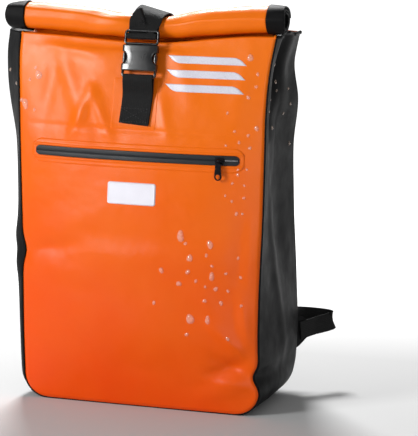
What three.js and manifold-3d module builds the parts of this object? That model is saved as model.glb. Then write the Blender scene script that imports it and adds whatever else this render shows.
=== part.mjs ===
// A roll-top courier backpack standing on its base: a hollow body of welded tarpaulin panels, a rolled mouth held
// down by a strap and side-release buckle, a zipped front pocket, and two shoulder straps behind.
// Millimetres, +Z up, the front towards -Y. The origin is on the floor, under the middle of the whole bag.
import * as THREE from "three";
import { mergeVertices } from "three/addons/utils/BufferGeometryUtils.js";
import Module from "manifold-3d";

const wasm = await Module();
wasm.setup();

// Body sizes
const BODY_WIDTH = 325;
const BODY_DEPTH = 165;
const BODY_HEIGHT = 486;
const CORNER_RADIUS = 32;
const TARP = 2;
const SEAM_GAP = 0.3;
const BACK_SEAM_DROP = 18;
const BACK_SEAM_HEIGHT = BODY_HEIGHT - BACK_SEAM_DROP;
const BACK_SEAM_LAP = 12;
const BACK_CROWN = 0.03;
const COLLAR_INSET = 4;
const RIGHT_CREST = 0.5;

// Rolled mouth
const ROLL_RADIUS = 19.5;
const ROLL_PITCH = 4.2;
const ROLL_TURNS = 2.3;
const ROLL_FLATTEN = 1.12;
const ROLL_OVERHANG = 8;
const ROLL_CLEARANCE = 1.5;
const ROLL_LEFT_SEAM = 175;
const ROLL_RIGHT_SEAM = 154;
const LEFT_EAR = 27;
const RIGHT_EAR = 23;

// Front pocket zip, with its slider and puller
const ZIP_LENGTH = 279;
const ZIP_HEIGHT = 14;
const ZIP_ACROSS = -10;
const ZIP_DROP = 155.5;
const ZIP_LEVEL = BODY_HEIGHT - ZIP_DROP;
const ZIP_FLANGE = 5;
const ZIP_TAPE = 1.2;
const TAPE_GAP = 0.9;
const SLIDER_ACROSS = 104;
const SLIDER_WIDTH = 11;
const SLIDER_HEIGHT = 9;
const SLIDER_DEPTH = 2.6;
const SLIDER_LIFT = 1.4;
const BRIDGE_RADIUS = 0.9;
const BRIDGE_STANDOFF = 3.6;
const BRIDGE_SPAN = 5;
const LUG_WIDTH = 1.5;
const LUG_HEIGHT = 2.6;
const LUG_NOSE = 0.6;
const PULLER_LENGTH = 25;
const PULLER_WIDTH = 6.6;
const PULLER_THICKNESS = 1.5;
const PULLER_END_RADIUS = 4.8;
const PULLER_HOLE_RADIUS = 3.1;
const PULLER_EYE_RADIUS = 2.5;
const PULLER_EYE_PLAY = 0.5;
const PULLER_EYE_WIDTH = 4;

// Patches welded on the front
const LABEL_WIDTH = 66;
const LABEL_HEIGHT = 29;
const LABEL_CORNER = 3.5;
const LABEL_ACROSS = -10.5;
const LABEL_DROP = 48;
const LABEL_LEVEL = ZIP_LEVEL - LABEL_DROP;
const PATCH_THICKNESS = 0.8;
const STRIPE_COUNT = 3;
const STRIPE_LENGTH = 94;
const STRIPE_HEIGHT = 10;
const STRIPE_PITCH = 18;
const STRIPE_SLANT = 11;
const STRIPE_ACROSS = 78.5;
const STRIPE_DROP = 30.5;
const STRIPE_LEVEL = BODY_HEIGHT - STRIPE_DROP;
const STRIPE_STEP = 0.5;

// Closing strap and its side-release buckle
const WEB = 1.6;
const STRAP_WIDTH = 40;
const STRAP_FOOT_ACROSS = -12;
const STRAP_FOOT_DROP = 115.5;
const STRAP_FOOT_LEVEL = BODY_HEIGHT - STRAP_FOOT_DROP;
const STRAP_BACK_DROP = 33;
const STRAP_BACK_LEVEL = BODY_HEIGHT - STRAP_BACK_DROP;
const STRAP_TILT = 15;
const STRAP_DRIFT = 6;
const BUCKLE_ACROSS = -7.5;
const BUCKLE_DROP = 21;
const BUCKLE_LEVEL = BODY_HEIGHT - BUCKLE_DROP;
const BUCKLE_WIDTH = 51;
const BUCKLE_LENGTH = 63;
const BUCKLE_THICKNESS = 12;
const BUCKLE_FRAME = 5;
const BUCKLE_BAR = 3.2;
const SOCKET_SLOT = 6.2;
const PLUG_SLOT = 6.6;
const TAIL_SLOT = 3.6;
const BUCKLE_WALL = 2.4;
const BUCKLE_PLAY = 0.5;
const BUCKLE_STANDOFF = 11.5;

// Carrying gear on the back
const SHOULDER_WIDTH = 62;
const SHOULDER_THICKNESS = 12;
const SHOULDER_HEM = 3.5;
const SHOULDER_DROP = 40;
const SHOULDER_TOP = BODY_HEIGHT - SHOULDER_DROP;
const SHOULDER_ACROSS = 46;
const LOWER_WEB_WIDTH = 25;
const LOCK_HEIGHT = 28;
const LOCK_BAR = 3;
const LOCK_SIDE = 4;
const LOCK_THICKNESS = 4;
const WING_HEIGHT = 46;
const WING_LEVEL = 82;
const WING_REACH = 30;
const HAUL_WIDTH = 25;
const HAUL_SPAN = 96;
const HAUL_DROP = 23;
const HAUL_LEVEL = BODY_HEIGHT - HAUL_DROP;
const HAUL_RISE = 34;
const HAUL_LIFT = 8;
const HAUL_FOOT = 20;
const HAUL_WEB = 2.4;

// Heights are shares of BODY_HEIGHT, front, back, crown and folds are shares of BODY_DEPTH,
// and the half widths are shares of BODY_WIDTH. A fold stands out where positive and in where negative, and
// its crest is a share of the way from the front's edge to the back's.
const SECTIONS = [
  { height: 0, frontLeft: 0.5, frontRight: 0.5, backLeft: 0.492, backRight: 0.492, front: 0, back: 0.85, crown: 0.02, leftFold: 0, leftCrest: 0.1, rightFold: 0 },
  { height: 0.05, frontLeft: 0.502, frontRight: 0.502, backLeft: 0.497, backRight: 0.5, front: 0, back: 0.94, crown: 0.05, leftFold: 0.045, leftCrest: 0.1, rightFold: 0.02 },
  { height: 0.1, frontLeft: 0.505, frontRight: 0.5, backLeft: 0.502, backRight: 0.508, front: 0, back: 0.99, crown: 0.08, leftFold: 0.056, leftCrest: 0.1, rightFold: 0.03 },
  { height: 0.2, frontLeft: 0.511, frontRight: 0.492, backLeft: 0.508, backRight: 0.511, front: 0, back: 1, crown: 0.12, leftFold: 0.06, leftCrest: 0.1, rightFold: 0.03 },
  { height: 0.32, frontLeft: 0.517, frontRight: 0.49, backLeft: 0.511, backRight: 0.502, front: 0.01, back: 1, crown: 0.14, leftFold: 0.08, leftCrest: 0.12, rightFold: 0 },
  { height: 0.41, frontLeft: 0.522, frontRight: 0.492, backLeft: 0.511, backRight: 0.496, front: 0.018, back: 0.985, crown: 0.15, leftFold: 0.113, leftCrest: 0.12, rightFold: -0.02 },
  { height: 0.48, frontLeft: 0.526, frontRight: 0.494, backLeft: 0.512, backRight: 0.49, front: 0.027, back: 0.975, crown: 0.15, leftFold: 0.09, leftCrest: 0.15, rightFold: -0.035 },
  { height: 0.56, frontLeft: 0.533, frontRight: 0.494, backLeft: 0.514, backRight: 0.486, front: 0.04, back: 0.96, crown: 0.15, leftFold: 0.096, leftCrest: 0.2, rightFold: -0.045 },
  { height: 0.7, frontLeft: 0.545, frontRight: 0.492, backLeft: 0.517, backRight: 0.484, front: 0.06, back: 0.93, crown: 0.13, leftFold: 0.142, leftCrest: 0.28, rightFold: -0.05 },
  { height: 0.82, frontLeft: 0.556, frontRight: 0.489, backLeft: 0.52, backRight: 0.502, front: 0.09, back: 0.9, crown: 0.09, leftFold: 0.203, leftCrest: 0.3, rightFold: -0.04 },
  { height: 0.92, frontLeft: 0.565, frontRight: 0.498, backLeft: 0.52, backRight: 0.487, front: 0.12, back: 0.87, crown: 0.06, leftFold: 0.215, leftCrest: 0.3, rightFold: -0.03 },
  { height: 1, frontLeft: 0.564, frontRight: 0.516, backLeft: 0.515, backRight: 0.512, front: 0.15, back: 0.84, crown: 0.03, leftFold: 0.205, leftCrest: 0.3, rightFold: 0.03 },
];

// Rows of the body grid above the round bottom corners, as shares of the height left over.
const LEVELS = [0.05, 0.1, 0.17, 0.26, 0.35, 0.41, 0.5, 0.6, 0.7, 0.78, 0.85, 0.91, 0.96, 0.99];

// Where an edge of the front is pinched in: side -1 is left. Height is a share of BODY_HEIGHT, the rest of BODY_WIDTH.
const PINCHES = [
  { side: 1, height: 0.105, depth: 0.024, spread: 0.036 },
  { side: -1, height: 0.405, depth: 0.016, spread: 0.05 },
];

// Dents and swellings of the front: place as shares of half width and height, depth of BODY_DEPTH, spreads of
// BODY_WIDTH. The long axis is turned by turn degrees from level.
const DENTS = [
  { across: 0.82, height: 0.135, depth: 0.035, along: 0.14, over: 0.035, turn: 28 },
  { across: 0.8, height: 0.075, depth: -0.02, along: 0.12, over: 0.035, turn: 18 },
  { across: -0.86, height: 0.45, depth: 0.025, along: 0.13, over: 0.04, turn: -35 },
  { across: -0.42, height: 0.83, depth: -0.02, along: 0.2, over: 0.09, turn: 75 },
];

// How far the top of the bag is pulled down by the strap, in shares of BODY_HEIGHT, across the width.
const SAG = [
  { across: -0.62, lift: -0.008 },
  { across: -0.35, lift: -0.014 },
  { across: -0.15, lift: -0.021 },
  { across: -0.03, lift: -0.023 },
  { across: 0.1, lift: -0.019 },
  { across: 0.25, lift: -0.007 },
  { across: 0.4, lift: 0.003 },
  { across: 0.6, lift: 0.007 },
];

// How the roll is squeezed under the strap: a share of its radius, across the width.
const SQUEEZE = [
  { across: -0.62, radius: 0.97 },
  { across: -0.3, radius: 1 },
  { across: -0.12, radius: 0.9 },
  { across: -0.02, radius: 0.8 },
  { across: 0.08, radius: 0.82 },
  { across: 0.2, radius: 0.98 },
  { across: 0.6, radius: 0.97 },
];

// The shoulder strap's line, as shares: out of SHOULDER_ACROSS, down of SHOULDER_TOP, away of BODY_DEPTH.
const SHOULDER_LINE = [
  { out: 1, down: 0, away: 0 },
  { out: 1.02, down: 0.05, away: 0.015 },
  { out: 1.05, down: 0.1, away: 0.09 },
  { out: 1.12, down: 0.17, away: 0.24 },
  { out: 1.25, down: 0.27, away: 0.36 },
  { out: 1.42, down: 0.38, away: 0.41 },
  { out: 1.6, down: 0.49, away: 0.39 },
  { out: 1.76, down: 0.58, away: 0.33 },
  { out: 1.9, down: 0.65, away: 0.27 },
];

const tarpOrange = new THREE.MeshStandardMaterial({ color: 0xf0641e, roughness: 0.38, metalness: 0 });
const tarpBlack = new THREE.MeshStandardMaterial({ color: 0x1d1e20, roughness: 0.55, metalness: 0 });
const webBlack = new THREE.MeshStandardMaterial({ color: 0x151516, roughness: 0.85, metalness: 0 });
const plasticBlack = new THREE.MeshStandardMaterial({ color: 0x17181a, roughness: 0.3, metalness: 0 });
const zipBlack = new THREE.MeshStandardMaterial({ color: 0x22262b, roughness: 0.5, metalness: 0 });
const metalBlack = new THREE.MeshStandardMaterial({ color: 0x101010, roughness: 0.35, metalness: 0.6 });
const labelWhite = new THREE.MeshStandardMaterial({ color: 0xeef0f2, roughness: 0.45, metalness: 0 });
const reflectiveGrey = new THREE.MeshStandardMaterial({ color: 0xdfe1ea, roughness: 0.35, metalness: 0 });

const bag = new THREE.Group();

const mix = (a, b, t) => a + (b - a) * t;
const clamp = (x, low, high) => Math.min(high, Math.max(low, x));
const smooth = (t) => clamp(t, 0, 1) ** 2 * (3 - 2 * clamp(t, 0, 1));
const vec = (x, y, z) => new THREE.Vector3(x, y, z);
const spread = (from, to, steps) => Array.from({ length: steps + 1 }, (_, i) => mix(from, to, i / steps));

// The value of one column of a table at a place along its key column, on a smooth curve through the rows.
function read(table, key, at, column) {
  const last = table.length - 1;
  if (at <= table[0][key]) return table[0][column];
  if (at >= table[last][key]) return table[last][column];
  const i = table.findIndex((row) => row[key] > at) - 1;
  const slope = (k) => {
    const a = table[Math.max(0, k - 1)];
    const b = table[Math.min(last, k + 1)];
    return (b[column] - a[column]) / (b[key] - a[key]);
  };
  const step = table[i + 1][key] - table[i][key];
  const t = (at - table[i][key]) / step;
  const bend = t * t * (3 - 2 * t);
  return (
    mix(table[i][column], table[i + 1][column], bend) +
    step * (slope(i) * t * (1 - t) ** 2 - slope(i + 1) * t * t * (1 - t))
  );
}

const bodyColumn = (z, column) => read(SECTIONS, "height", z / BODY_HEIGHT, column);
const frontEdge = (z) => (bodyColumn(z, "front") - 0.5) * BODY_DEPTH;
const backEdge = (z) => (bodyColumn(z, "back") - 0.5) * BODY_DEPTH;

// How far the top is pulled down at a place: nothing below RAMP_FOOT, all of it from RAMP_TOP up.
const RAMP_FOOT = 0.945;
const RAMP_TOP = 0.99;
const sag = (x, z) =>
  read(SAG, "across", x / BODY_WIDTH, "lift") * BODY_HEIGHT *
  smooth((z / BODY_HEIGHT - RAMP_FOOT) / (RAMP_TOP - RAMP_FOOT));
const sagged = (p) => vec(p.x, p.y, p.z + sag(p.x, p.z));

function pinch(side, z) {
  return PINCHES.filter((p) => p.side === side).reduce(
    (sum, p) => sum + p.depth * BODY_WIDTH * Math.exp(-(((z - p.height * BODY_HEIGHT) / (p.spread * BODY_WIDTH)) ** 2)),
    0,
  );
}

// Half width of the outline at a height, for the front or back edge on one side, before the corner is rounded.
function halfWidth(edge, side, z) {
  const wide = bodyColumn(z, edge + (side < 0 ? "Left" : "Right")) * BODY_WIDTH;
  return edge === "front" ? wide - pinch(side, z) : wide;
}

// A point of the outline on one side of the base or wall, moved in by inset along the outline's normal.
function outline(edge, side, row, inset) {
  const wide = halfWidth(edge, side, row.z);
  const x = wide - CORNER_RADIUS + Math.sin(row.angle) * (CORNER_RADIUS - inset);
  const z = row.angle < Math.PI / 2 ? CORNER_RADIUS - Math.cos(row.angle) * (CORNER_RADIUS - inset) : row.z;
  return { x: side * x, z };
}

// Rows up one side: around the corner, then up the wall.
const CORNER_STEPS = 4;
const rows = [
  ...spread(0, Math.PI / 2, CORNER_STEPS).map((angle) => ({ angle, z: CORNER_RADIUS * (1 - Math.cos(angle)) })),
  ...LEVELS.map((share) => ({ angle: Math.PI / 2, z: mix(CORNER_RADIUS, BODY_HEIGHT, share) })),
];
const topRow = rows[rows.length - 1];

// How far a dent or swelling moves the front at a place, positive into the bag.
function dented(across, z) {
  return DENTS.reduce((sum, d) => {
    const turn = THREE.MathUtils.degToRad(d.turn);
    const dx = ((across - d.across) * BODY_WIDTH) / 2;
    const dz = z - d.height * BODY_HEIGHT;
    const along = (dx * Math.cos(turn) + dz * Math.sin(turn)) / (d.along * BODY_WIDTH);
    const over = (-dx * Math.sin(turn) + dz * Math.cos(turn)) / (d.over * BODY_WIDTH);
    return sum + d.depth * BODY_DEPTH * Math.exp(-(along ** 2) - over ** 2);
  }, 0);
}

// The front's outer face: across runs from -1 at the left edge to 1 at the right.
function frontDepth(across, z) {
  const dome = (1 - across ** 2) ** 0.8 * bodyColumn(z, "crown") * BODY_DEPTH;
  const rim = 1 - Math.abs(across) ** 6;
  return frontEdge(z) - dome + dented(across, z) * rim;
}

// The front's outer face straight ahead of a place given in millimetres, and its outward normal.
function onFront(x, z) {
  const at = (px, pz) => {
    const wide = halfWidth("front", px < 0 ? -1 : 1, pz);
    return sagged(vec(px, frontDepth(clamp(px / wide, -1, 1), pz), pz));
  };
  const step = 1;
  const p = at(x, z);
  const normal = vec(0, 0, 0)
    .crossVectors(at(x + step, z).sub(p), at(x, z + step).sub(p))
    .normalize();
  return { p, normal };
}

// A closed solid from a grid of points: the grid is its outer face, and the inner face lies deep inside it along
// the grid's normals. side is 1 where the rows, then the columns, turn the normal outwards.
function sheet(grid, deep, side = 1) {
  const n = grid.length;
  const m = grid[0].length;
  const depth = typeof deep === "function" ? deep : () => deep;
  const at = (i, j) => grid[clamp(i, 0, n - 1)][clamp(j, 0, m - 1)];
  const points = [];
  const inner = grid.map((line, i) =>
    line.map((p, j) => {
      const down = at(i + 1, j).clone().sub(at(i - 1, j));
      const over = at(i, j + 1).clone().sub(at(i, j - 1));
      const normal = down.cross(over).normalize().multiplyScalar(side);
      return p.clone().addScaledVector(normal, -depth(i, j));
    }),
  );
  grid.flat().forEach((p) => points.push(p.x, p.y, p.z));
  inner.flat().forEach((p) => points.push(p.x, p.y, p.z));
  const index = [];
  const quad = (a, b, c, d) => index.push(a, b, c, a, c, d);
  const out = (i, j) => i * m + j;
  const back = (i, j) => n * m + i * m + j;
  for (let i = 0; i < n - 1; i++) {
    for (let j = 0; j < m - 1; j++) {
      quad(out(i, j), out(i + 1, j), out(i + 1, j + 1), out(i, j + 1));
      quad(back(i, j), back(i, j + 1), back(i + 1, j + 1), back(i + 1, j));
    }
  }
  for (let i = 0; i < n - 1; i++) {
    quad(out(i, 0), back(i, 0), back(i + 1, 0), out(i + 1, 0));
    quad(out(i, m - 1), out(i + 1, m - 1), back(i + 1, m - 1), back(i, m - 1));
  }
  for (let j = 0; j < m - 1; j++) {
    quad(out(0, j), out(0, j + 1), back(0, j + 1), back(0, j));
    quad(out(n - 1, j), back(n - 1, j), back(n - 1, j + 1), out(n - 1, j + 1));
  }
  return facingOut(geometryOf(points, index));
}

function geometryOf(points, index) {
  return new THREE.BufferGeometry()
    .setAttribute("position", new THREE.BufferAttribute(new Float32Array(points), 3))
    .setIndex(new THREE.BufferAttribute(new Uint32Array(index), 1));
}

// Turns every face round where the surface encloses a negative volume.
function facingOut(geometry) {
  const p = geometry.attributes.position;
  const index = geometry.index.array;
  const corner = (k) => vec(p.getX(index[k]), p.getY(index[k]), p.getZ(index[k]));
  let volume = 0;
  for (let k = 0; k < index.length; k += 3) volume += corner(k).dot(corner(k + 1).cross(corner(k + 2)));
  if (volume < 0) {
    for (let k = 0; k < index.length; k += 3) [index[k + 1], index[k + 2]] = [index[k + 2], index[k + 1]];
  }
  return geometry;
}

// A band of webbing or cloth along a line of points. across gives the width direction at each point, and the
// band is deep thick, half on each side of the line.
function band(line, across, width, deep, columns = 1) {
  const half = (k) => (typeof width === "function" ? width(k) : width) / 2;
  const shift = line.map((p, i) => {
    const along = line[Math.min(i + 1, line.length - 1)].clone().sub(line[Math.max(i - 1, 0)]);
    return along.cross(across(i)).normalize();
  });
  const thick = typeof deep === "function" ? deep : () => deep;
  const grid = line.map((p, i) =>
    spread(-1, 1, columns).map((u, j) =>
      p.clone().addScaledVector(across(i), u * half(i)).addScaledVector(shift[i], thick(i, j) / 2),
    ),
  );
  return sheet(grid, thick);
}

function toSolid(geometry) {
  const bare = new THREE.BufferGeometry().setAttribute("position", geometry.attributes.position.clone());
  if (geometry.index) bare.setIndex(geometry.index);
  const merged = mergeVertices(bare, 1e-3);
  return new wasm.Manifold(
    new wasm.Mesh({
      numProp: 3,
      vertProperties: merged.attributes.position.array,
      triVerts: new Uint32Array(merged.index.array),
    }),
  );
}

function toGeometry(solid) {
  const mesh = solid.getMesh();
  const points = [];
  for (let i = 0; i < mesh.numVert; i++) {
    points.push(...mesh.vertProperties.subarray(i * mesh.numProp, i * mesh.numProp + 3));
  }
  return geometryOf(points, Array.from(mesh.triVerts));
}

function add(name, geometry, material, group = bag) {
  const mesh = new THREE.Mesh(geometry, material);
  mesh.name = name;
  group.add(mesh);
  return mesh;
}

// The rolled mouth's side view. Angle 0 is its back, and it turns up, over the top and down the front.
const rollSpan = (angle) => ROLL_RADIUS - (ROLL_PITCH * angle) / (2 * Math.PI);
const TUCK_RISE = 2.5;
const rollHeight = BODY_HEIGHT + TUCK_RISE + ROLL_CLEARANCE + rollSpan(1.5 * Math.PI);
const rollDepth = frontEdge(BODY_HEIGHT) - ROLL_OVERHANG + rollSpan(Math.PI) * ROLL_FLATTEN;
const neckDepth = rollDepth + ROLL_RADIUS * ROLL_FLATTEN;

function rollPoint(x, angle) {
  const squeeze = read(SQUEEZE, "across", x / BODY_WIDTH, "radius");
  const r = rollSpan(angle);
  const foot = rollHeight - rollSpan(1.5 * Math.PI);
  const z = rollHeight + r * Math.sin(angle);
  return vec(x, rollDepth + r * ROLL_FLATTEN * Math.cos(angle), foot + (z - foot) * squeeze);
}

// The front's top edge turns in under the roll and up behind it: reach is a share of the way to the neck.
const TUCK = [
  { reach: 0.02, rise: 0.55 },
  { reach: 0.1, rise: 0.8 },
  { reach: 0.5, rise: 1 },
  { reach: 0.86, rise: 1 },
  { reach: 0.97, rise: 2 },
  { reach: 1, rise: 4.2 },
];
const neckFront = neckDepth - 2 * TARP - SEAM_GAP;
const tuckRows = TUCK.map(({ reach, rise }) => ({
  y: mix(frontEdge(BODY_HEIGHT), neckFront, reach),
  z: BODY_HEIGHT + TUCK_RISE * (rise - 1),
  reach,
}));

// Half width of the closing folds between the body's top and the roll's seam.
const seamOf = (side) => (side < 0 ? ROLL_LEFT_SEAM : ROLL_RIGHT_SEAM);
const closing = (edge, side, share) => mix(halfWidth(edge, side, BODY_HEIGHT), seamOf(side), share);

function frontPanel() {
  const inset = TARP + SEAM_GAP;
  const columns = spread(-1, 1, 16).map((u) => Math.sign(u) * Math.abs(u) ** 0.85);
  const wall = rows.map((row) => {
    const left = outline("front", -1, row, inset);
    const right = outline("front", 1, row, inset);
    return columns.map((u) => {
      const side = u < 0 ? left : right;
      const x = Math.abs(u) * side.x;
      const across = x / halfWidth("front", u < 0 ? -1 : 1, row.z);
      return sagged(vec(x, frontDepth(across, row.z), side.z));
    });
  });
  const crown = bodyColumn(BODY_HEIGHT, "crown") * BODY_DEPTH;
  const tuck = tuckRows.map(({ y, z, reach }) =>
    columns.map((u) => {
      const side = u < 0 ? -1 : 1;
      const x = u * (closing("front", side, reach) - inset);
      const dome = (1 - u * u) ** 0.8 * crown * (1 - reach) ** 2;
      return sagged(vec(x, y - dome, z));
    }),
  );
  const panel = toSolid(sheet([...wall, ...tuck], TARP, -1));
  const slot = toSolid(zipBand(ZIP_HEIGHT / 2 + SEAM_GAP, SEAM_GAP, -3 * TARP, 3 * TARP));
  return toGeometry(panel.subtract(slot));
}

// A strip along the zip with round ends, its half height and length grown by more, between two depths that are
// measured inwards from the front's face.
function zipBand(half, more, from, to) {
  const reach = ZIP_LENGTH / 2 + more;
  const round = spread(0, Math.PI / 2, 4).map((a) => reach - half * (1 - Math.sin(a)));
  const stations = [...round.map((x) => -x).reverse(), ...spread(-0.8, 0.8, 8).map((s) => s * (reach - half)), ...round];
  const grid = stations.map((x) => {
    const past = Math.max(0, Math.abs(x) - (reach - half));
    const tall = Math.max(0.15, Math.sqrt(Math.max(0, half * half - past * past)));
    return spread(-1, 1, 2).map((v) => {
      const { p, normal } = onFront(ZIP_ACROSS + x, ZIP_LEVEL + v * tall);
      return p.addScaledVector(normal, -from);
    });
  });
  return sheet(grid, to - from, 1);
}

// The black band: up the left side, round both bottom corners and along the base, with a ridge or valley along it.
function gusset() {
  const walls = [-1, 1].map((side) => [...rows.map((row) => bandRow(side, row)), ...tuckRows.slice(0, 4).map((t) => gableRow(side, t))]);
  const [left, right] = walls;
  const middle = spread(0, 1, 4).slice(1, -1).map((t) => mixRow(left[0], right[0], t));
  return sheet([...left.reverse(), ...middle, ...right], TARP, -1);
}

const CREST_STEPS = 4;
function bandRow(side, row) {
  const f = outline("front", side, row, 0);
  const b = outline("back", side, row, 0);
  const out = vec(side * Math.sin(row.angle), 0, -Math.cos(row.angle));
  const sharp = smooth((row.z / BODY_HEIGHT - 0.45) / 0.35);
  const fold = bodyColumn(row.z, side < 0 ? "leftFold" : "rightFold") * BODY_DEPTH * Math.sin(row.angle) ** 2;
  return foldRow(vec(f.x, frontEdge(row.z), f.z), vec(b.x, backEdge(row.z), b.z), out, fold, sharp, crestAt(side, row.z));
}

// A row of the gable where the band closes under the roll, as wide as the roll's seam at the neck.
function gableRow(side, tuck) {
  const ear = side < 0 ? LEFT_EAR : RIGHT_EAR;
  const start = bodyColumn(BODY_HEIGHT, side < 0 ? "leftFold" : "rightFold") * BODY_DEPTH;
  const f = vec(side * closing("front", side, tuck.reach), tuck.y, tuck.z);
  const slope = slopePoint(tuck.reach);
  const b = vec(side * closing("back", side, tuck.reach), slope.y, slope.z - TARP - SEAM_GAP);
  return foldRow(f, b, vec(side, 0, 0), mix(start, ear, tuck.reach), 1, crestAt(side, BODY_HEIGHT));
}

function foldRow(f, b, out, fold, sharp, crest) {
  return spread(0, 2, 2 * CREST_STEPS).map((s) => {
    const t = s <= 1 ? crest * s : mix(crest, 1, s - 1);
    const q = s <= 1 ? s : 2 - s;
    const rise = mix(Math.sin((q * Math.PI) / 2), q, sharp);
    return sagged(f.clone().lerp(b, t).addScaledVector(out, fold * rise));
  });
}

const crestAt = (side, z) => (side < 0 ? bodyColumn(z, "leftCrest") : RIGHT_CREST);
const mixRow = (a, b, t) => a.map((p, j) => p.clone().lerp(b[j], t));

// The outer face of the back at a place across and up it.
function backFace(x, z) {
  const u = x / halfWidth("back", x < 0 ? -1 : 1, z);
  return backEdge(z) + BACK_CROWN * BODY_DEPTH * (1 - u * u) * Math.sin((Math.PI * z) / BODY_HEIGHT) ** 2;
}

function backPanel() {
  const inset = TARP + SEAM_GAP;
  const seam = { angle: Math.PI / 2, z: BACK_SEAM_HEIGHT };
  const wall = [...rows.filter((row) => row.z < BACK_SEAM_HEIGHT - 1), seam].map((row) => {
    const left = outline("back", -1, row, inset);
    const right = outline("back", 1, row, inset);
    return spread(-1, 1, 8).map((u) => {
      const side = u < 0 ? left : right;
      const x = Math.abs(u) * side.x;
      return sagged(vec(x, backFace(x, row.z), side.z));
    });
  });
  return sheet(wall, TARP, 1);
}

// The collar's line from the back's shoulder up to the neck: share 0 is the shoulder and 1 the neck.
function slopePoint(share) {
  const rise = rollHeight - BODY_HEIGHT;
  return {
    y: mix(backEdge(BODY_HEIGHT) + TARP + SEAM_GAP, neckDepth, share),
    z: BODY_HEIGHT + rise * (0.04 + 0.6 * share ** 1.3),
  };
}

// Orange collar: lapped over the back, up the slope to the neck, and rolled forward around itself.
function rolledCollar() {
  const columns = spread(0, 1, 12);
  const edge = (side, z) => halfWidth("back", side, z) - COLLAR_INSET;
  const lap = spread(BACK_SEAM_HEIGHT - BACK_SEAM_LAP, BODY_HEIGHT - 4, 2).map((z) =>
    columns.map((u) => {
      const x = mix(-edge(-1, z), edge(1, z), u);
      return sagged(vec(x, backFace(x, z) + TARP + SEAM_GAP, z));
    }),
  );
  const slope = [0.03, 0.3, 0.6, 0.88].map((share) =>
    columns.map((u) => {
      const { y, z } = slopePoint(share);
      const inset = COLLAR_INSET * (1 - share);
      return sagged(vec(mix(-closing("back", -1, share) + inset, closing("back", 1, share) - inset, u), y, z));
    }),
  );
  const turns = spread(-0.25, ROLL_TURNS * 2 * Math.PI, 30);
  const roll = turns.map((angle) => columns.map((u) => sagged(rollPoint(mix(-ROLL_LEFT_SEAM, ROLL_RIGHT_SEAM, u), angle))));
  return sheet([...lap, ...slope, ...roll], TARP, 1);
}

// Black ends of the roll: the same spiral carried on past the seam, longest at the front on the left.
function rollEnd(side) {
  const turns = spread(0.1, ROLL_TURNS * 2 * Math.PI, 32);
  const reach = side < 0 ? LEFT_EAR : RIGHT_EAR;
  const grid = turns.map((angle) =>
    spread(0, 1, 3).map((t) => {
      const pointed = side < 0 ? 0.72 + 0.28 * Math.max(0, -Math.cos(angle)) : 0.9 + 0.1 * Math.max(0, -Math.cos(angle));
      const x = side * (seamOf(side) + SEAM_GAP + t * reach * pointed);
      const p = rollPoint(x, angle);
      const pinched = 1 - (side < 0 ? 0.16 : 0.08) * t * t;
      p.z = mix(rollHeight, p.z, pinched);
      p.y = mix(rollDepth, p.y, pinched);
      return sagged(p);
    }),
  );
  return sheet(grid, TARP, -side);
}

// A thin patch that follows the front. outline gives the half height and shift at each station across it.
function patch(across, level, half, stations, shape) {
  const grid = stations.map((s) =>
    spread(-1, 1, 2).map((v) => {
      const { tall, shift } = shape(s, v);
      const { p, normal } = onFront(across + s * half + shift, level + v * tall);
      return p.addScaledVector(normal, SEAM_GAP + PATCH_THICKNESS);
    }),
  );
  return sheet(grid, PATCH_THICKNESS);
}

function label() {
  const half = LABEL_WIDTH / 2;
  const round = spread(0, Math.PI / 2, 3).map((a) => 1 - (LABEL_CORNER * (1 - Math.sin(a))) / half);
  const stations = [...round.map((s) => -s).reverse(), -0.45, 0, 0.45, ...round];
  return patch(LABEL_ACROSS, LABEL_LEVEL, half, stations, (s) => {
    const past = Math.max(0, Math.abs(s) * half - (half - LABEL_CORNER));
    const cut = LABEL_CORNER - Math.sqrt(Math.max(0, LABEL_CORNER ** 2 - past ** 2));
    return { tall: LABEL_HEIGHT / 2 - cut, shift: 0 };
  });
}

function stripe(k) {
  return patch(
    STRIPE_ACROSS - k * STRIPE_STEP,
    STRIPE_LEVEL - k * STRIPE_PITCH,
    STRIPE_LENGTH / 2,
    spread(-1, 1, 6),
    (s, v) => ({ tall: STRIPE_HEIGHT / 2, shift: (-v * STRIPE_SLANT) / 2 }),
  );
}

// Zip: a band in the slot of the front, and a wider tape behind the panel that holds it.
function zip() {
  const ridge = toSolid(zipBand(ZIP_HEIGHT / 2, 0, 0, TARP + TAPE_GAP + ZIP_TAPE / 2));
  const tape = toSolid(zipBand(ZIP_HEIGHT / 2 + ZIP_FLANGE, ZIP_FLANGE, TARP + TAPE_GAP, TARP + TAPE_GAP + ZIP_TAPE));
  return toGeometry(ridge.add(tape));
}

// Slider: a block on the zip with two lugs and a round bar between them, along the zip.
function slider() {
  const block = new THREE.BoxGeometry(SLIDER_WIDTH, SLIDER_DEPTH, SLIDER_HEIGHT).translate(0, -SLIDER_DEPTH / 2, 0);
  const bar = new THREE.CylinderGeometry(BRIDGE_RADIUS, BRIDGE_RADIUS, BRIDGE_SPAN + LUG_WIDTH, 10)
    .rotateZ(Math.PI / 2)
    .translate(0, -SLIDER_DEPTH - BRIDGE_STANDOFF, 0);
  const tall = BRIDGE_STANDOFF + BRIDGE_RADIUS + LUG_NOSE;
  const lugs = [-1, 1].map((side) =>
    new THREE.BoxGeometry(LUG_WIDTH, tall, LUG_HEIGHT).translate((side * (BRIDGE_SPAN + LUG_WIDTH)) / 2, -SLIDER_DEPTH - tall / 2, 0),
  );
  const root = new THREE.BoxGeometry(BRIDGE_SPAN + 2 * LUG_WIDTH, SLIDER_DEPTH, LUG_HEIGHT).translate(0, -SLIDER_DEPTH / 2 - 0.2, 0);
  return toGeometry([bar, root, ...lugs].reduce((sum, g) => sum.add(toSolid(g)), toSolid(block)));
}

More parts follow.
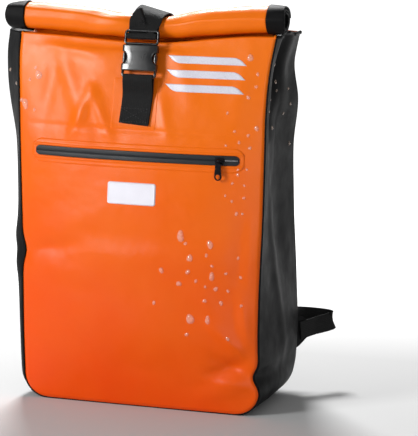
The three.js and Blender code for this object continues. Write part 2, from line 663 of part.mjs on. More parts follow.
// Puller: an eye around the slider's bar, and a flat tab that hangs from it with a round hole at its end.
function puller() {
  const tab = new THREE.Shape();
  const half = PULLER_WIDTH / 2;
  const foot = -PULLER_LENGTH + PULLER_END_RADIUS;
  const neck = Math.hypot(LUG_HEIGHT / 2, BRIDGE_RADIUS + LUG_NOSE) + PULLER_EYE_PLAY;
  tab.moveTo(-PULLER_EYE_WIDTH / 2, -BRIDGE_RADIUS);
  tab.lineTo(-PULLER_EYE_WIDTH / 2, -neck);
  tab.lineTo(-half, -neck - 1);
  tab.lineTo(-PULLER_END_RADIUS, foot);
  tab.absarc(0, foot, PULLER_END_RADIUS, Math.PI, 2 * Math.PI, false);
  tab.lineTo(half, -neck - 1);
  tab.lineTo(PULLER_EYE_WIDTH / 2, -neck);
  tab.lineTo(PULLER_EYE_WIDTH / 2, -BRIDGE_RADIUS);
  tab.holes.push(new THREE.Path().absarc(0, foot, PULLER_HOLE_RADIUS, 0, 2 * Math.PI, true));
  const plate = new THREE.ExtrudeGeometry(tab, { depth: PULLER_THICKNESS, bevelEnabled: false, curveSegments: 8 })
    .rotateX(Math.PI / 2)
    .translate(0, PULLER_THICKNESS / 2, 0);
  const ring = new THREE.CylinderGeometry(PULLER_EYE_RADIUS, PULLER_EYE_RADIUS, PULLER_EYE_WIDTH, 12).rotateZ(Math.PI / 2);
  const bore = BRIDGE_RADIUS + PULLER_EYE_PLAY;
  const hole = new THREE.CylinderGeometry(bore, bore, PULLER_WIDTH * 2, 12).rotateZ(Math.PI / 2);
  return toGeometry(toSolid(plate).add(toSolid(ring)).subtract(toSolid(hole)));
}

// The buckle's own frame: x across, y out from the bag and z up along the strap.
function buckleFrame() {
  const foot = onFront(BUCKLE_ACROSS, BUCKLE_LEVEL - BUCKLE_LENGTH / 2);
  const head = onFront(BUCKLE_ACROSS, BUCKLE_LEVEL + BUCKLE_LENGTH / 2 - TUCK_RISE);
  head.p.y = Math.min(head.p.y, rollPoint(BUCKLE_ACROSS, Math.PI).y + 2);
  const up = head.p.clone().sub(foot.p).normalize();
  const out = vec(0, -1, 0).addScaledVector(up, up.y).normalize();
  const across = vec(0, 0, 0).crossVectors(up, out).normalize();
  const centre = foot.p.clone().lerp(head.p, 0.5).addScaledVector(out, BUCKLE_STANDOFF);
  return { centre, across, out, up };
}

// A flat outline in the buckle's frame, as a solid of a given thickness about its middle plane.
function plate(shape, thickness) {
  return toSolid(
    new THREE.ExtrudeGeometry(shape, { depth: thickness, bevelEnabled: false, curveSegments: 6 })
      .translate(0, 0, -thickness / 2)
      .rotateX(Math.PI / 2),
  );
}

function rectangle(left, right, low, high) {
  return new THREE.Shape([
    new THREE.Vector2(left, low),
    new THREE.Vector2(right, low),
    new THREE.Vector2(right, high),
    new THREE.Vector2(left, high),
  ]);
}

const buckleHalf = BUCKLE_WIDTH / 2;
const slotHalf = STRAP_WIDTH / 2 + BUCKLE_PLAY;
const buckleTop = BUCKLE_LENGTH / 2;
const middleBar = buckleTop - 1.5 * BUCKLE_BAR - TAIL_SLOT;
const plugFoot = middleBar - 1.5 * BUCKLE_BAR - PLUG_SLOT;
const socketFoot = -buckleTop + BUCKLE_BAR + SOCKET_SLOT;

// Socket: a hollow housing with a waist open at both sides, over a frame with one slot for the lower strap.
function buckleSocket() {
  const top = plugFoot - SEAM_GAP;
  const low = socketFoot;
  const waist = buckleHalf * 0.72;
  const middle = mix(low, top, 0.5);
  const body = new THREE.Shape();
  body.moveTo(-buckleHalf * 0.9, low);
  body.lineTo(buckleHalf * 0.9, low);
  body.lineTo(buckleHalf * 0.94, low + 3);
  body.bezierCurveTo(waist, middle - 6, waist, middle + 6, buckleHalf * 0.96, top - 5);
  body.lineTo(buckleHalf * 0.9, top);
  body.lineTo(-buckleHalf * 0.9, top);
  body.lineTo(-buckleHalf * 0.96, top - 5);
  body.bezierCurveTo(-waist, middle + 6, -waist, middle - 6, -buckleHalf * 0.94, low + 3);
  const frame = rectangle(-buckleHalf * 0.9, buckleHalf * 0.9, -buckleTop, low + 1);
  frame.holes.push(rectangle(-slotHalf, slotHalf, -buckleTop + BUCKLE_BAR, low));
  const hollow = rectangle(-buckleHalf * 0.8, buckleHalf * 0.8, low + BUCKLE_WALL, top + 1);
  return toGeometry(
    plate(body, BUCKLE_THICKNESS)
      .add(plate(frame, BUCKLE_FRAME))
      .subtract(plate(hollow, BUCKLE_THICKNESS - 2 * BUCKLE_WALL)),
  );
}

// Plug: a frame with two slots for the upper strap, a centre guide and two sprung arms inside the socket.
function bucklePlug() {
  const low = plugFoot;
  const frame = rectangle(-buckleHalf * 0.92, buckleHalf * 0.92, low, buckleTop);
  frame.holes.push(rectangle(-slotHalf, slotHalf, low + BUCKLE_BAR, low + BUCKLE_BAR + PLUG_SLOT));
  frame.holes.push(rectangle(-slotHalf, slotHalf, middleBar + BUCKLE_BAR / 2, buckleTop - BUCKLE_BAR));
  const inside = buckleHalf * 0.8 - BUCKLE_PLAY;
  const tip = socketFoot + BUCKLE_WALL + BUCKLE_PLAY;
  const arm = (side) => {
    const shape = new THREE.Shape();
    const middle = mix(tip, low, 0.42);
    shape.moveTo(side * inside * 0.55, low + 1);
    shape.lineTo(side * inside * 0.55, middle);
    shape.lineTo(side * inside * 0.7, tip);
    shape.lineTo(side * inside * 0.86, tip);
    shape.bezierCurveTo(side * inside, middle - 4, side * inside, middle + 4, side * inside * 0.86, middle + 7);
    shape.lineTo(side * inside * 0.72, low + 1);
    return shape;
  };
  const guide = rectangle(-inside * 0.14, inside * 0.14, tip + 6, low + 1);
  const deep = BUCKLE_THICKNESS - 2 * BUCKLE_WALL - 2 * BUCKLE_PLAY;
  return toGeometry([arm(-1), arm(1), guide].reduce((sum, s) => sum.add(plate(s, deep)), plate(frame, BUCKLE_FRAME)));
}

// Carries a geometry from the buckle's frame to the bag's.
function onBuckle(geometry, { centre, across, out, up }) {
  const basis = new THREE.Matrix4().makeBasis(across, out, up).setPosition(centre);
  return facingOut(geometry.applyMatrix4(basis));
}

// A line of webbing once round a bar, from the bar's outer face over its upper side (turn 1) or under its lower
// side (turn -1) to its back. Each point is a rise along the strap and a distance out from the bar's middle.
function roundBar(halfBar, halfDeep, turn) {
  const off = SEAM_GAP + WEB / 2;
  const quarter = [
    [0, halfDeep + off],
    [halfBar * 0.9, halfDeep + off],
    [halfBar + off * 0.8, halfDeep + off * 0.65],
    [halfBar + off, halfDeep - off * 0.4],
  ];
  const round = [...quarter, ...quarter.map(([rise, proud]) => [rise, -proud]).reverse()];
  return round.map(([rise, proud]) => [turn * rise, proud]);
}

// The surface's own level direction across the front at a place.
function levelAt(x, z, half) {
  return onFront(x + half, z).p.sub(onFront(x - half, z).p).normalize();
}

// Lower strap: sewn to the front at its foot, folded round the socket's bar.
function lowerStrap({ centre, across, out, up }) {
  const bar = centre.clone().addScaledVector(up, -buckleTop + BUCKLE_BAR / 2);
  const on = (share, lift) => {
    const x = mix(STRAP_FOOT_ACROSS, bar.x, share);
    const { p, normal } = onFront(x, mix(STRAP_FOOT_LEVEL, bar.z, share));
    return p.addScaledVector(normal, lift);
  };
  const inner = 2 * SEAM_GAP + WEB / 2;
  const outer = inner + WEB + SEAM_GAP;
  const loop = roundBar(BUCKLE_BAR / 2, BUCKLE_FRAME / 2, 1);
  const line = [
    on(0, outer),
    on(0.3, outer + 0.3),
    on(0.62, outer + 2.2),
    bar.clone().addScaledVector(up, -BUCKLE_BAR - 1).addScaledVector(out, BUCKLE_FRAME / 2 + SEAM_GAP + WEB / 2),
    ...loop.map(([rise, proud]) => bar.clone().addScaledVector(up, rise).addScaledVector(out, proud)),
    on(0.66, inner + 0.8),
    on(0.3, inner),
    on(0.02, inner),
  ];
  const foot = levelAt(STRAP_FOOT_ACROSS, STRAP_FOOT_LEVEL, STRAP_WIDTH / 2);
  const sewn = [1, 0.8, 0.4, 0, ...loop.map(() => 0), 0.4, 0.8, 1];
  return band(line, (i) => across.clone().lerp(foot, sewn[i]).normalize(), STRAP_WIDTH, WEB, 2);
}

// Upper strap: sewn to the back, over the roll, round the plug's middle bar, and up behind itself as a tail.
function upperStrap({ centre, across, out, up }) {
  const from = (rise, proud) => centre.clone().addScaledVector(up, rise).addScaledVector(out, proud);
  const off = SEAM_GAP + WEB / 2;
  const x = BUCKLE_ACROSS + STRAP_DRIFT;
  const over = (angle, lift) => {
    const p = sagged(rollPoint(x, angle));
    return p.add(vec(0, Math.cos(angle) * lift, Math.sin(angle) * lift));
  };
  const slope = (share, lift) => {
    const { y, z } = slopePoint(share);
    return sagged(vec(x, y + lift * 0.35, z + lift));
  };
  const back = (z) => vec(x, backFace(x, z) + TARP + 3 * SEAM_GAP + WEB / 2, z);
  const behind = -BUCKLE_FRAME / 2 - off;
  const line = [
    back(STRAP_BACK_LEVEL),
    back(mix(STRAP_BACK_LEVEL, BODY_HEIGHT, 0.6)),
    slope(0.0, 2.6),
    slope(0.16, 3.4),
    slope(0.45, 4),
    slope(0.72, 5),
    over(0.35, 7),
    over(0.8, 9.5),
    over(1.2, 10.5),
    over(1.65, 9.5),
    over(2.15, 8.5).add(vec(-STRAP_DRIFT * 0.3, 0, 0)),
    over(2.7, 6.5).add(vec(-STRAP_DRIFT * 0.6, 0, 0)),
    from(buckleTop + 9, behind + 2.4).add(vec(STRAP_DRIFT * 0.15, 0, 0)),
    from(buckleTop + 2, behind),
    from(buckleTop - BUCKLE_BAR - 0.2, behind + 0.2),
    ...roundBar(BUCKLE_BAR / 2, BUCKLE_FRAME / 2, 1)
      .reverse()
      .slice(2)
      .map(([rise, proud]) => from(middleBar + rise, proud)),
    ...roundBar(BUCKLE_BAR / 2, BUCKLE_FRAME / 2, -1)
      .slice(1)
      .map(([rise, proud]) => from(middleBar + rise, proud - (proud < 0 ? WEB + SEAM_GAP : 0))),
    from(buckleTop - BUCKLE_BAR, behind - WEB - SEAM_GAP),
    from(buckleTop + 5, behind - WEB - SEAM_GAP),
  ];
  const tilt = (i) => THREE.MathUtils.degToRad(STRAP_TILT) * Math.exp(-(((i - 8.5) / 2.2) ** 2));
  const level = vec(1, 0, 0);
  return band(line, (i) => (i < 7 ? level : across).clone().applyAxisAngle(vec(0, 1, 0), tilt(i)), STRAP_WIDTH, WEB, 2);
}

// The shoulder strap's centre line on one side, starting flat on the back.
function shoulderLine(side) {
  const curve = new THREE.CatmullRomCurve3(
    SHOULDER_LINE.map(({ out, down, away }) => {
      const z = SHOULDER_TOP * (1 - down);
      const x = SHOULDER_ACROSS * out;
      const lying = backFace(x - SHOULDER_WIDTH / 2, z) + SHOULDER_THICKNESS / 2 - SEAM_GAP;
      return vec(side * x, lying + away * BODY_DEPTH, z);
    }),
    false,
    "centripetal",
  );
  return curve.getSpacedPoints(16);
}

// Directions along, across and away from the bag at the padded strap's lower end.
function strapEnd(side) {
  const line = shoulderLine(side);
  const end = line[line.length - 1];
  const along = end.clone().sub(line[line.length - 2]).normalize();
  const across = acrossStrap(along, side);
  return { end, along, across, away: vec(0, 0, 0).crossVectors(across, along).multiplyScalar(side).normalize() };
}

function acrossStrap(along, side) {
  const level = vec(side, 0.12, 0);
  return level.addScaledVector(along, -level.dot(along)).normalize();
}

function shoulderStrap(side) {
  const line = shoulderLine(side);
  const across = line.map((p, i) => {
    const along = line[Math.min(i + 1, line.length - 1)].clone().sub(line[Math.max(i - 1, 0)]).normalize();
    return acrossStrap(along, side);
  });
  const ends = line.length - 1;
  const narrow = (i) => mix(SHOULDER_WIDTH, LOWER_WEB_WIDTH + 2 * LOCK_SIDE, smooth((i - ends + 3) / 3));
  const columns = 6;
  const padded = (i, j) => {
    const u = Math.abs((2 * j) / columns - 1);
    const body = mix(SHOULDER_THICKNESS, SHOULDER_HEM, u ** 3);
    return mix(SHOULDER_HEM, body, smooth(Math.min(i, ends - i) / 1.5 + 0.35));
  };
  return band(line, (i) => across[i], narrow, padded, columns);
}

// Ladder lock in its own frame: two slots and three bars, the strap's loop on the upper and the web on the middle.
const lockHalf = LOWER_WEB_WIDTH / 2 + SEAM_GAP + LOCK_SIDE;
const lockSlot = (LOCK_HEIGHT - 3 * LOCK_BAR) / 2;
const LOCK_DROP = 10;

function lockFrame(side) {
  const { end, along, across, away } = strapEnd(side);
  return { centre: end.clone().addScaledVector(along, LOCK_DROP + LOCK_HEIGHT / 2), along, across, away };
}

function ladderLock(side) {
  const { centre, along, across, away } = lockFrame(side);
  const frame = rectangle(-lockHalf, lockHalf, -LOCK_HEIGHT / 2, LOCK_HEIGHT / 2);
  const wide = lockHalf - LOCK_SIDE;
  [-1, 1].forEach((k) => {
    const middle = k * (LOCK_BAR / 2 + lockSlot / 2);
    frame.holes.push(rectangle(-wide, wide, middle - lockSlot / 2, middle + lockSlot / 2));
  });
  const solid = new THREE.ExtrudeGeometry(frame, { depth: LOCK_THICKNESS, bevelEnabled: false }).translate(0, 0, -LOCK_THICKNESS / 2);
  const basis = new THREE.Matrix4().makeBasis(across, along.clone().negate(), away).setPosition(centre);
  return facingOut(toGeometry(toSolid(solid)).applyMatrix4(basis));
}

// A short web from the padded strap's end, round the lock's upper bar.
function endLoop(side) {
  const { centre, along, across, away } = lockFrame(side);
  const bar = centre.clone().addScaledVector(along, -LOCK_HEIGHT / 2 + LOCK_BAR / 2);
  const leg = LOCK_DROP + LOCK_BAR / 2 - SEAM_GAP;
  const at = (down, proud) => bar.clone().addScaledVector(along, down).addScaledVector(away, proud);
  const turned = roundBar(LOCK_BAR / 2, LOCK_THICKNESS / 2, 1).map(([down, proud]) => at(down, proud));
  const line = [at(-leg, 1.2), at(-leg / 2, 2.6), ...turned, at(-leg / 2, -2.6), at(-leg, -1.2)];
  return band(line, () => across, LOWER_WEB_WIDTH - 2 * SEAM_GAP, WEB, 1);
}

// The fabric wing that the lower web is sewn to, standing out from the back seam near the base.
function wingPoint(side, t, v) {
  const x = side * (halfWidth("back", side, WING_LEVEL) - 2 * TARP);
  const seam = vec(x, backFace(x, WING_LEVEL) + TARP / 2 + 2 * SEAM_GAP, 0);
  const half = mix(WING_HEIGHT, LOWER_WEB_WIDTH, smooth(t)) / 2;
  const reach = WING_REACH * t;
  return seam.add(vec(side * reach * 0.5, reach * 0.86, WING_LEVEL + v * half + 3 * t * t));
}

function anchorWing(side) {
  const grid = spread(0, 1, 4).map((t) => spread(-1, 1, 4).map((v) => wingPoint(side, t, v * (1 - 0.12 * t * t))));
  return sheet(grid, TARP, side);
}

// Lower web: sewn along the wing, out and back in a loose turn, up through the ladder lock, and down as a tail.
function lowerWeb(side) {
  const { centre, along, across, away } = lockFrame(side);
  const off = LOCK_THICKNESS / 2 + SEAM_GAP + WEB / 2;
  const at = (down, proud) => centre.clone().addScaledVector(along, down).addScaledVector(away, proud);
  const root = wingPoint(side, 0.3, 0);
  const tip = wingPoint(side, 1, 0);
  const outwards = tip.clone().sub(root).normalize();
  const skin = vec(side * outwards.y, -side * outwards.x, 0).normalize().multiplyScalar(SEAM_GAP + WEB / 2);
  const turn = tip.clone().add(vec(side * 22, 32, 6));
  const line = [
    root.clone().add(skin),
    tip.clone().lerp(root, 0.3).add(skin),
    tip.clone().add(skin).addScaledVector(outwards, 6),
    turn,
    at(34, -off - 8).lerp(turn, 0.45),
    at(30, -off - 3),
    at(LOCK_HEIGHT / 2, -off),
    ...roundBar(LOCK_BAR / 2, LOCK_THICKNESS / 2, -1)
      .reverse()
      .map(([down, proud]) => at(down, proud)),
    at(LOCK_HEIGHT / 2, off + 0.4),
    at(LOCK_HEIGHT / 2 + 16, off + 3),
    at(LOCK_HEIGHT / 2 + 34, off + 4),
    at(LOCK_HEIGHT / 2 + 56, off + 2),
  ];
  const upright = vec(0, 0, 1);
  const level = across.clone().multiplyScalar(-side);
  const width = (i) => {
    const t = smooth((i - 2) / 3);
    return upright.clone().lerp(level, t).normalize();
  };
  return band(line, width, LOWER_WEB_WIDTH - 2 * SEAM_GAP, WEB, 1);
}

// Haul loop: an arch of doubled webbing at the top of the back, both ends sewn flat on the sloping collar.
function haulLoop() {
  const low = HAUL_LEVEL - HAUL_WIDTH / 2;
  const high = HAUL_LEVEL + HAUL_WIDTH / 2;
  const upright = vec(0, backEdge(high) - backEdge(low), HAUL_WIDTH).normalize();
  const lying = backFace(HAUL_SPAN / 2, HAUL_LEVEL) + TARP + 2 * SEAM_GAP + HAUL_WEB / 2;
  const arch = spread(0, Math.PI, 10).map((a) =>
    vec((-HAUL_SPAN / 2) * Math.cos(a), lying + HAUL_RISE * Math.sin(a) ** 0.8, HAUL_LEVEL + HAUL_LIFT * Math.sin(a)),
  );
  const end = HAUL_SPAN / 2 + HAUL_FOOT;
  const line = [vec(-end, lying, HAUL_LEVEL), ...arch, vec(end, lying, HAUL_LEVEL)];
  return band(line, () => upright, HAUL_WIDTH, HAUL_WEB, 1);
}

add("front_panel", frontPanel(), tarpOrange);
add("gusset_band", gusset(), tarpBlack);
add("back_panel", backPanel(), tarpBlack);
add("rolled_collar", rolledCollar(), tarpOrange);
add("roll_end_left", rollEnd(-1), tarpBlack);
add("roll_end_right", rollEnd(1), tarpBlack);

add("front_zip", zip(), zipBlack);
const sliderSeat = onFront(SLIDER_ACROSS, ZIP_LEVEL);
const sliderPlace = sliderSeat.p.clone().add(vec(0, -SLIDER_LIFT, 0));
add("zip_slider", slider(), metalBlack).position.copy(sliderPlace);
add("zip_puller", puller(), metalBlack).position.copy(sliderPlace).add(vec(0, -SLIDER_DEPTH - BRIDGE_STANDOFF, 0));

add("label_patch", label(), labelWhite);
for (let k = 0; k < STRIPE_COUNT; k++) add(`reflective_stripe_${k + 1}`, stripe(k), reflectiveGrey);

const buckle = buckleFrame();
add("buckle_socket", onBuckle(buckleSocket(), buckle), plasticBlack);
add("buckle_plug", onBuckle(bucklePlug(), buckle), plasticBlack);
add("strap_lower", lowerStrap(buckle), webBlack);
add("strap_upper", upperStrap(buckle), webBlack);
add("haul_loop", haulLoop(), webBlack);

for (const [name, side] of [["left", -1], ["right", 1]]) {
  add(`shoulder_strap_${name}`, shoulderStrap(side), tarpBlack);
  add(`end_loop_${name}`, endLoop(side), webBlack);
  add(`ladder_lock_${name}`, ladderLock(side), plasticBlack);
  add(`lower_web_${name}`, lowerWeb(side), webBlack);
  add(`anchor_wing_${name}`, anchorWing(side), tarpBlack);
}

// The origin goes under the middle of the whole bag, on the floor.
const reach = new THREE.Box3().setFromObject(bag, true);
const middle = reach.getCenter(vec(0, 0, 0));
bag.position.set(-middle.x, -middle.y, -reach.min.z);

export default bag;
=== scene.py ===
# %% [markdown]
# # A roll-top courier backpack in Blender
# The real bag is PVC tarpaulin: cut flat, welded at the seams, and stiff enough to stand by itself. An engineering
# model of it is already packed as a fixed frame. This lesson dresses that frame: each soft piece is worked out again
# on a fine grid, with its creases, and each finish is built from nodes. Everything is in metres, +Z up, front at -Y.

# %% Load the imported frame
import math

import bmesh
import bpy
import numpy as np
from mathutils import Matrix


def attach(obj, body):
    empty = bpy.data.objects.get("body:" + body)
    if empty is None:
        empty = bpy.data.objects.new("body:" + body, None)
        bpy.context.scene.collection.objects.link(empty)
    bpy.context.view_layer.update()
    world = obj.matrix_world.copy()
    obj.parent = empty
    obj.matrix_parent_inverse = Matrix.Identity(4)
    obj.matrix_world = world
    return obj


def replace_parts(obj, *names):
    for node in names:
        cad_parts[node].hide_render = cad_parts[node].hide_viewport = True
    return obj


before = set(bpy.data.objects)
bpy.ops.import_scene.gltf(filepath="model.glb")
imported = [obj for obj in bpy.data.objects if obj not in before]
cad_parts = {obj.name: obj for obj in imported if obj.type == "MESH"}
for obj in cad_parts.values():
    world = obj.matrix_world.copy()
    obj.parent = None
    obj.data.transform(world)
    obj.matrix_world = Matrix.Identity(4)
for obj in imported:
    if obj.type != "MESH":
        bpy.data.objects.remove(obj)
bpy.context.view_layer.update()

# %% [markdown]
# ## The camera
# Three angles and a distance say where the photograph was taken from: a little to the right of the bag's front,
# a little above it, with the picture turned slightly. The lens is long, so the bag's edges stay almost parallel.

# %% Camera
AZIMUTH, PITCH, ROLL = (math.radians(a) for a in (17.5, 8.5, 1.2))
CAMERA_AT = (0.9519, -2.8288, 0.6810)
FOCAL_PIXELS, PICTURE_HEIGHT, SENSOR = 2250, 436, 36


def camera_pose(azimuth, pitch, roll, at):
    """Columns are the picture's right and up, and the way back from the scene, each turned by the roll."""
    right = np.array([math.cos(azimuth), math.sin(azimuth), 0])
    ahead = np.array([-math.sin(azimuth) * math.cos(pitch), math.cos(azimuth) * math.cos(pitch), -math.sin(pitch)])
    up = np.cross(right, ahead)
    pose = np.eye(4)
    pose[:3, 0] = math.cos(roll) * right + math.sin(roll) * up
    pose[:3, 1] = math.cos(roll) * up - math.sin(roll) * right
    pose[:3, 2], pose[:3, 3] = -ahead, at
    return pose


camera = bpy.data.objects.new("camera", bpy.data.cameras.new("camera"))
bpy.context.scene.collection.objects.link(camera)
camera.data.sensor_width = SENSOR
camera.data.lens = SENSOR * FOCAL_PIXELS / PICTURE_HEIGHT
camera.matrix_world = Matrix(camera_pose(AZIMUTH, PITCH, ROLL, CAMERA_AT).tolist())
bpy.context.scene.camera = camera
print("lens", round(camera.data.lens, 1), "mm")

# %% [markdown]
# ## Numbers into meshes
# A soft piece is a surface: a grid of points worked out from two parameters. Such a grid becomes a mesh with quads,
# and its UV map holds real lengths in metres, so a weave can be drawn at its true thread spacing. A strap or a bar is
# a grid too, whose rows are closed rings.

# %% Grid to mesh
BAG = "bag"


def along_grid(grid, axis):
    """Length run so far along one axis of a grid of points: the running sum of the steps between neighbours."""
    step = np.linalg.norm(np.diff(grid, axis=axis), axis=2)
    return np.concatenate([np.zeros_like(step.take([0], axis)), np.cumsum(step, axis)], axis)


def surface(grid, ring=False, loop=False, flip=False):
    """Points, quads and UVs of a grid. ring closes each row, and loop joins the last row to the first; the two ends
    of an open tube get a cap. A tube's faces are turned so that they look away from the middle of their row."""
    grid = np.asarray(grid, float)
    rows, columns = grid.shape[:2]
    i, j = np.meshgrid(np.arange(rows - 1 + loop), np.arange(columns - 1 + ring), indexing="ij")
    row, column = i.reshape(-1, 1) + [0, 1, 1, 0], j.reshape(-1, 1) + [0, 0, 1, 1]
    quads = row % rows * columns + column % columns
    flat = np.concatenate([grid, grid[:1]]) if loop else grid
    flat = np.concatenate([flat, flat[:, :1]], 1) if ring else flat
    uv = np.stack([along_grid(flat, 1), along_grid(flat, 0)], -1)[row, column]
    points = grid.reshape(-1, 3)
    caps = [np.arange(columns), (rows - 1) * columns + np.arange(columns)[::-1]] if ring and not loop else []
    if ring:
        corner = points[quads]
        outward = corner.mean(1) - grid.mean(1)[i.ravel()]
        flip = np.sum(outward * np.cross(corner[:, 2] - corner[:, 0], corner[:, 3] - corner[:, 1])) < 0
    if flip:
        quads, uv, caps = quads[:, ::-1], uv[:, ::-1], [cap[::-1] for cap in caps]
    return points, quads, uv, caps


def piece(name, *surfaces, material, slot=None, body=BAG, wall=0.0):
    """One object from surfaces, smooth but for its flat caps, with its UV map in metres; wall thickens it inwards."""
    start, faces, uv, smooth = 0, [], [], []
    for points, quads, corners, caps in surfaces:
        faces += (quads + start).tolist() + [(cap + start).tolist() for cap in caps]
        uv += [corners.reshape(-1, 2)] + [np.zeros((len(cap), 2)) for cap in caps]
        smooth += [True] * len(quads) + [False] * len(caps)
        start += len(points)
    mesh = bpy.data.meshes.new(name)
    mesh.from_pydata(np.concatenate([s[0] for s in surfaces]).tolist(), [], faces)
    mesh.polygons.foreach_set("use_smooth", smooth)
    mesh.uv_layers.new(name="metres").data.foreach_set("uv", np.concatenate(uv).ravel())
    mesh.materials.append(material)
    made = bpy.data.objects.new(name, mesh)
    bpy.context.scene.collection.objects.link(made)
    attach(made, body)
    if wall:
        shell = made.modifiers.new("wall", "SOLIDIFY")
        shell.thickness, shell.offset = wall, -1
    return made


print("grid helpers ready")

# %% Curves through tables and points
def through(keys, values, at):
    """Smooth curve through a table's rows: cubic between two rows, with the slope at a row taken from both sides."""
    keys, values, at = np.asarray(keys, float), np.asarray(values, float), np.asarray(at, float)
    low, high = np.maximum(np.arange(len(keys)) - 1, 0), np.minimum(np.arange(len(keys)) + 1, len(keys) - 1)
    slope = (values[high] - values[low]) / (keys[high] - keys[low])
    i = np.clip(np.searchsorted(keys, at, side="right") - 1, 0, len(keys) - 2)
    step = keys[i + 1] - keys[i]
    t = np.clip((at - keys[i]) / step, 0, 1)
    bend = t * t * (3 - 2 * t)
    curve = slope[i] * t * (1 - t) ** 2 - slope[i + 1] * t * t * (1 - t)
    return values[i] + (values[i + 1] - values[i]) * bend + step * curve


def eased(t):
    """0 below 0, 1 above 1, and a smooth S between."""
    t = np.clip(t, 0, 1)
    return t * t * (3 - 2 * t)


def mix(a, b, t):
    return a + (b - a) * t


def unit(v):
    return v / np.maximum(np.linalg.norm(v, axis=-1, keepdims=True), 1e-12)


def rope(points, per=12):
    """Centripetal spline: the parameter grows by the root of each step, and a slope joins the two chords beside it.
    Returns the finer points and, for each, its place counted in the given points."""
    p = np.asarray(points, float)
    p = np.concatenate([2 * p[:1] - p[1:2], p, 2 * p[-1:] - p[-2:-1]])
    d = np.sqrt(np.linalg.norm(np.diff(p, axis=0), axis=1))[:, None]
    slope = np.diff(p, axis=0) / d
    slope = slope[:-1] + slope[1:] - (p[2:] - p[:-2]) / (d[:-1] + d[1:])
    at = np.linspace(0, len(points) - 1, (len(points) - 1) * per + 1)
    i = np.minimum(at.astype(int), len(points) - 2)
    t = (at - i)[:, None]
    step = d[1:-1][i]
    a, b = p[1:-1][i], p[1:-1][i + 1]
    bend = t * t * (3 - 2 * t)
    return a + (b - a) * bend + step * (slope[i] * t * (1 - t) ** 2 - slope[i + 1] * t * t * (1 - t)), at


def spaced(points, spacing, closed=False):
    """Points at equal steps along a line, by its running length in the first three columns; the rest goes along."""
    p = np.concatenate([points, points[:1]]) if closed else np.asarray(points, float)
    run = np.concatenate([[0], np.cumsum(np.linalg.norm(np.diff(p[:, :3], axis=0), axis=1))])
    at = np.linspace(0, run[-1], max(2, round(run[-1] / spacing)) + 1)[: -1 if closed else None]
    return np.stack([np.interp(at, run, p[:, k]) for k in range(p.shape[1])], -1)


def heading(line, closed=False):
    """Unit direction of travel at each point of a line, from the point before it to the point after."""
    return unit(np.roll(line, -1, 0) - np.roll(line, 1, 0)) if closed else unit(np.gradient(line, axis=0))


def sweep(line, side, up, half_width, half_depth, power=2.0, around=16):
    """Rings along a line: side times the cosine plus up times the sine, each to the power 2/power (superellipse)."""
    phi = np.linspace(0, 2 * np.pi, around, endpoint=False) + np.pi / around
    c, s = [np.sign(f) * np.abs(f) ** (2 / power) for f in (np.cos(phi), np.sin(phi))]
    a, b = [np.broadcast_to(h, len(line))[:, None] for h in (half_width, half_depth)]
    side, up = [np.broadcast_to(v, line.shape)[:, None] for v in (side, up)]
    return line[:, None] + side * (a * c)[..., None] + up * (b * s)[..., None]


def filleted(corners, radius, closed=True, steps=7):
    """Path through corners, each rounded by a parabola that starts and ends a radius away from it."""
    corners = np.asarray(corners, float)

    def towards(other):
        away = other - corners
        length = np.linalg.norm(away, axis=1, keepdims=True)
        return corners + away / length * np.minimum(radius, length / 2)

    a, b = towards(np.roll(corners, 1, 0)), towards(np.roll(corners, -1, 0))
    t = np.linspace(0, 1, steps)[None, :, None]
    path = ((1 - t) ** 2 * a[:, None] + 2 * t * (1 - t) * corners[:, None] + t**2 * b[:, None]).reshape(-1, 2)
    return path if closed else np.concatenate([corners[:1], path[steps:-steps], corners[-1:]])


print("a spline through 4 points has", len(rope(np.eye(4, 3))[0]), "points")

# %% [markdown]
# ## Nodes for the finishes
# A finish is a small network of nodes. One function adds a node, with its settings and what goes into it. Colours
# are picked as sRGB hex values, as a paint program shows them, and one function turns them into linear light.

# %% Node helpers
def linear(hex_colour):
    """sRGB hex to linear colour: a straight line near black, then the power 2.4 of the standard's curve."""
    c = np.array([int(hex_colour[k : k + 2], 16) for k in (0, 2, 4)]) / 255
    return (*np.where(c <= 0.04045, c / 12.92, ((c + 0.055) / 1.055) ** 2.4).tolist(), 1.0)


def add(tree, kind, inputs=(), **settings):
    """One node: settings are its own properties, inputs are values or other nodes' outputs by socket."""
    node = tree.nodes.new("ShaderNode" + kind)
    for key, value in settings.items():
        setattr(node, key, value)
    for key, value in dict(inputs).items():
        if isinstance(value, bpy.types.NodeSocket):
            tree.links.new(value, node.inputs[key])
        else:
            node.inputs[key].default_value = value
    return node


def finish(name, **sockets):
    """New material with plain values on the shader's own sockets; returns it, its tree, shader and coordinates."""
    material = bpy.data.materials.new(name)
    material.use_nodes = True
    tree = material.node_tree
    shader = tree.nodes["Principled BSDF"]
    for key, value in sockets.items():
        shader.inputs[key.replace("_", " ")].default_value = value
    return material, tree, shader, add(tree, "TexCoord")


def bumps(tree, shader, *layers):
    """Chain of bump nodes: each layer is a height between 0 and 1 and its real depth in metres."""
    normal = None
    for height, depth in layers:
        inputs = {"Height": height, "Distance": depth, "Strength": 1.0}
        if normal:
            inputs["Normal"] = normal
        normal = add(tree, "Bump", inputs).outputs["Normal"]
    tree.links.new(normal, shader.inputs["Normal"])


def bands(tree, where, axis, pitch):
    """Stripes of a given pitch in metres along one axis: the wave node's own pitch is 2 pi / 20."""
    scale = 2 * math.pi / 20 / pitch
    return add(tree, "TexWave", {"Vector": where, "Scale": scale}, bands_direction=axis).outputs["Fac"]


print("node helpers ready")

# %% [markdown]
# ## Coated tarpaulin
# PVC is spread on a polyester scrim and rolled smooth. The eye gets a satin gloss with broad, soft highlights that
# wander with the slightest wave of the sheet, a faint grid from the threads inside, and colour that is almost even.

# %% Tarpaulin, orange and black
# Way of the painted light: the tarpaulin is painted lighter up and a little to the right, and darker low on the left,
# as if the top were lit more.
PAINTED_LIGHT_WAY = (0.35, 0.0, 1.0)


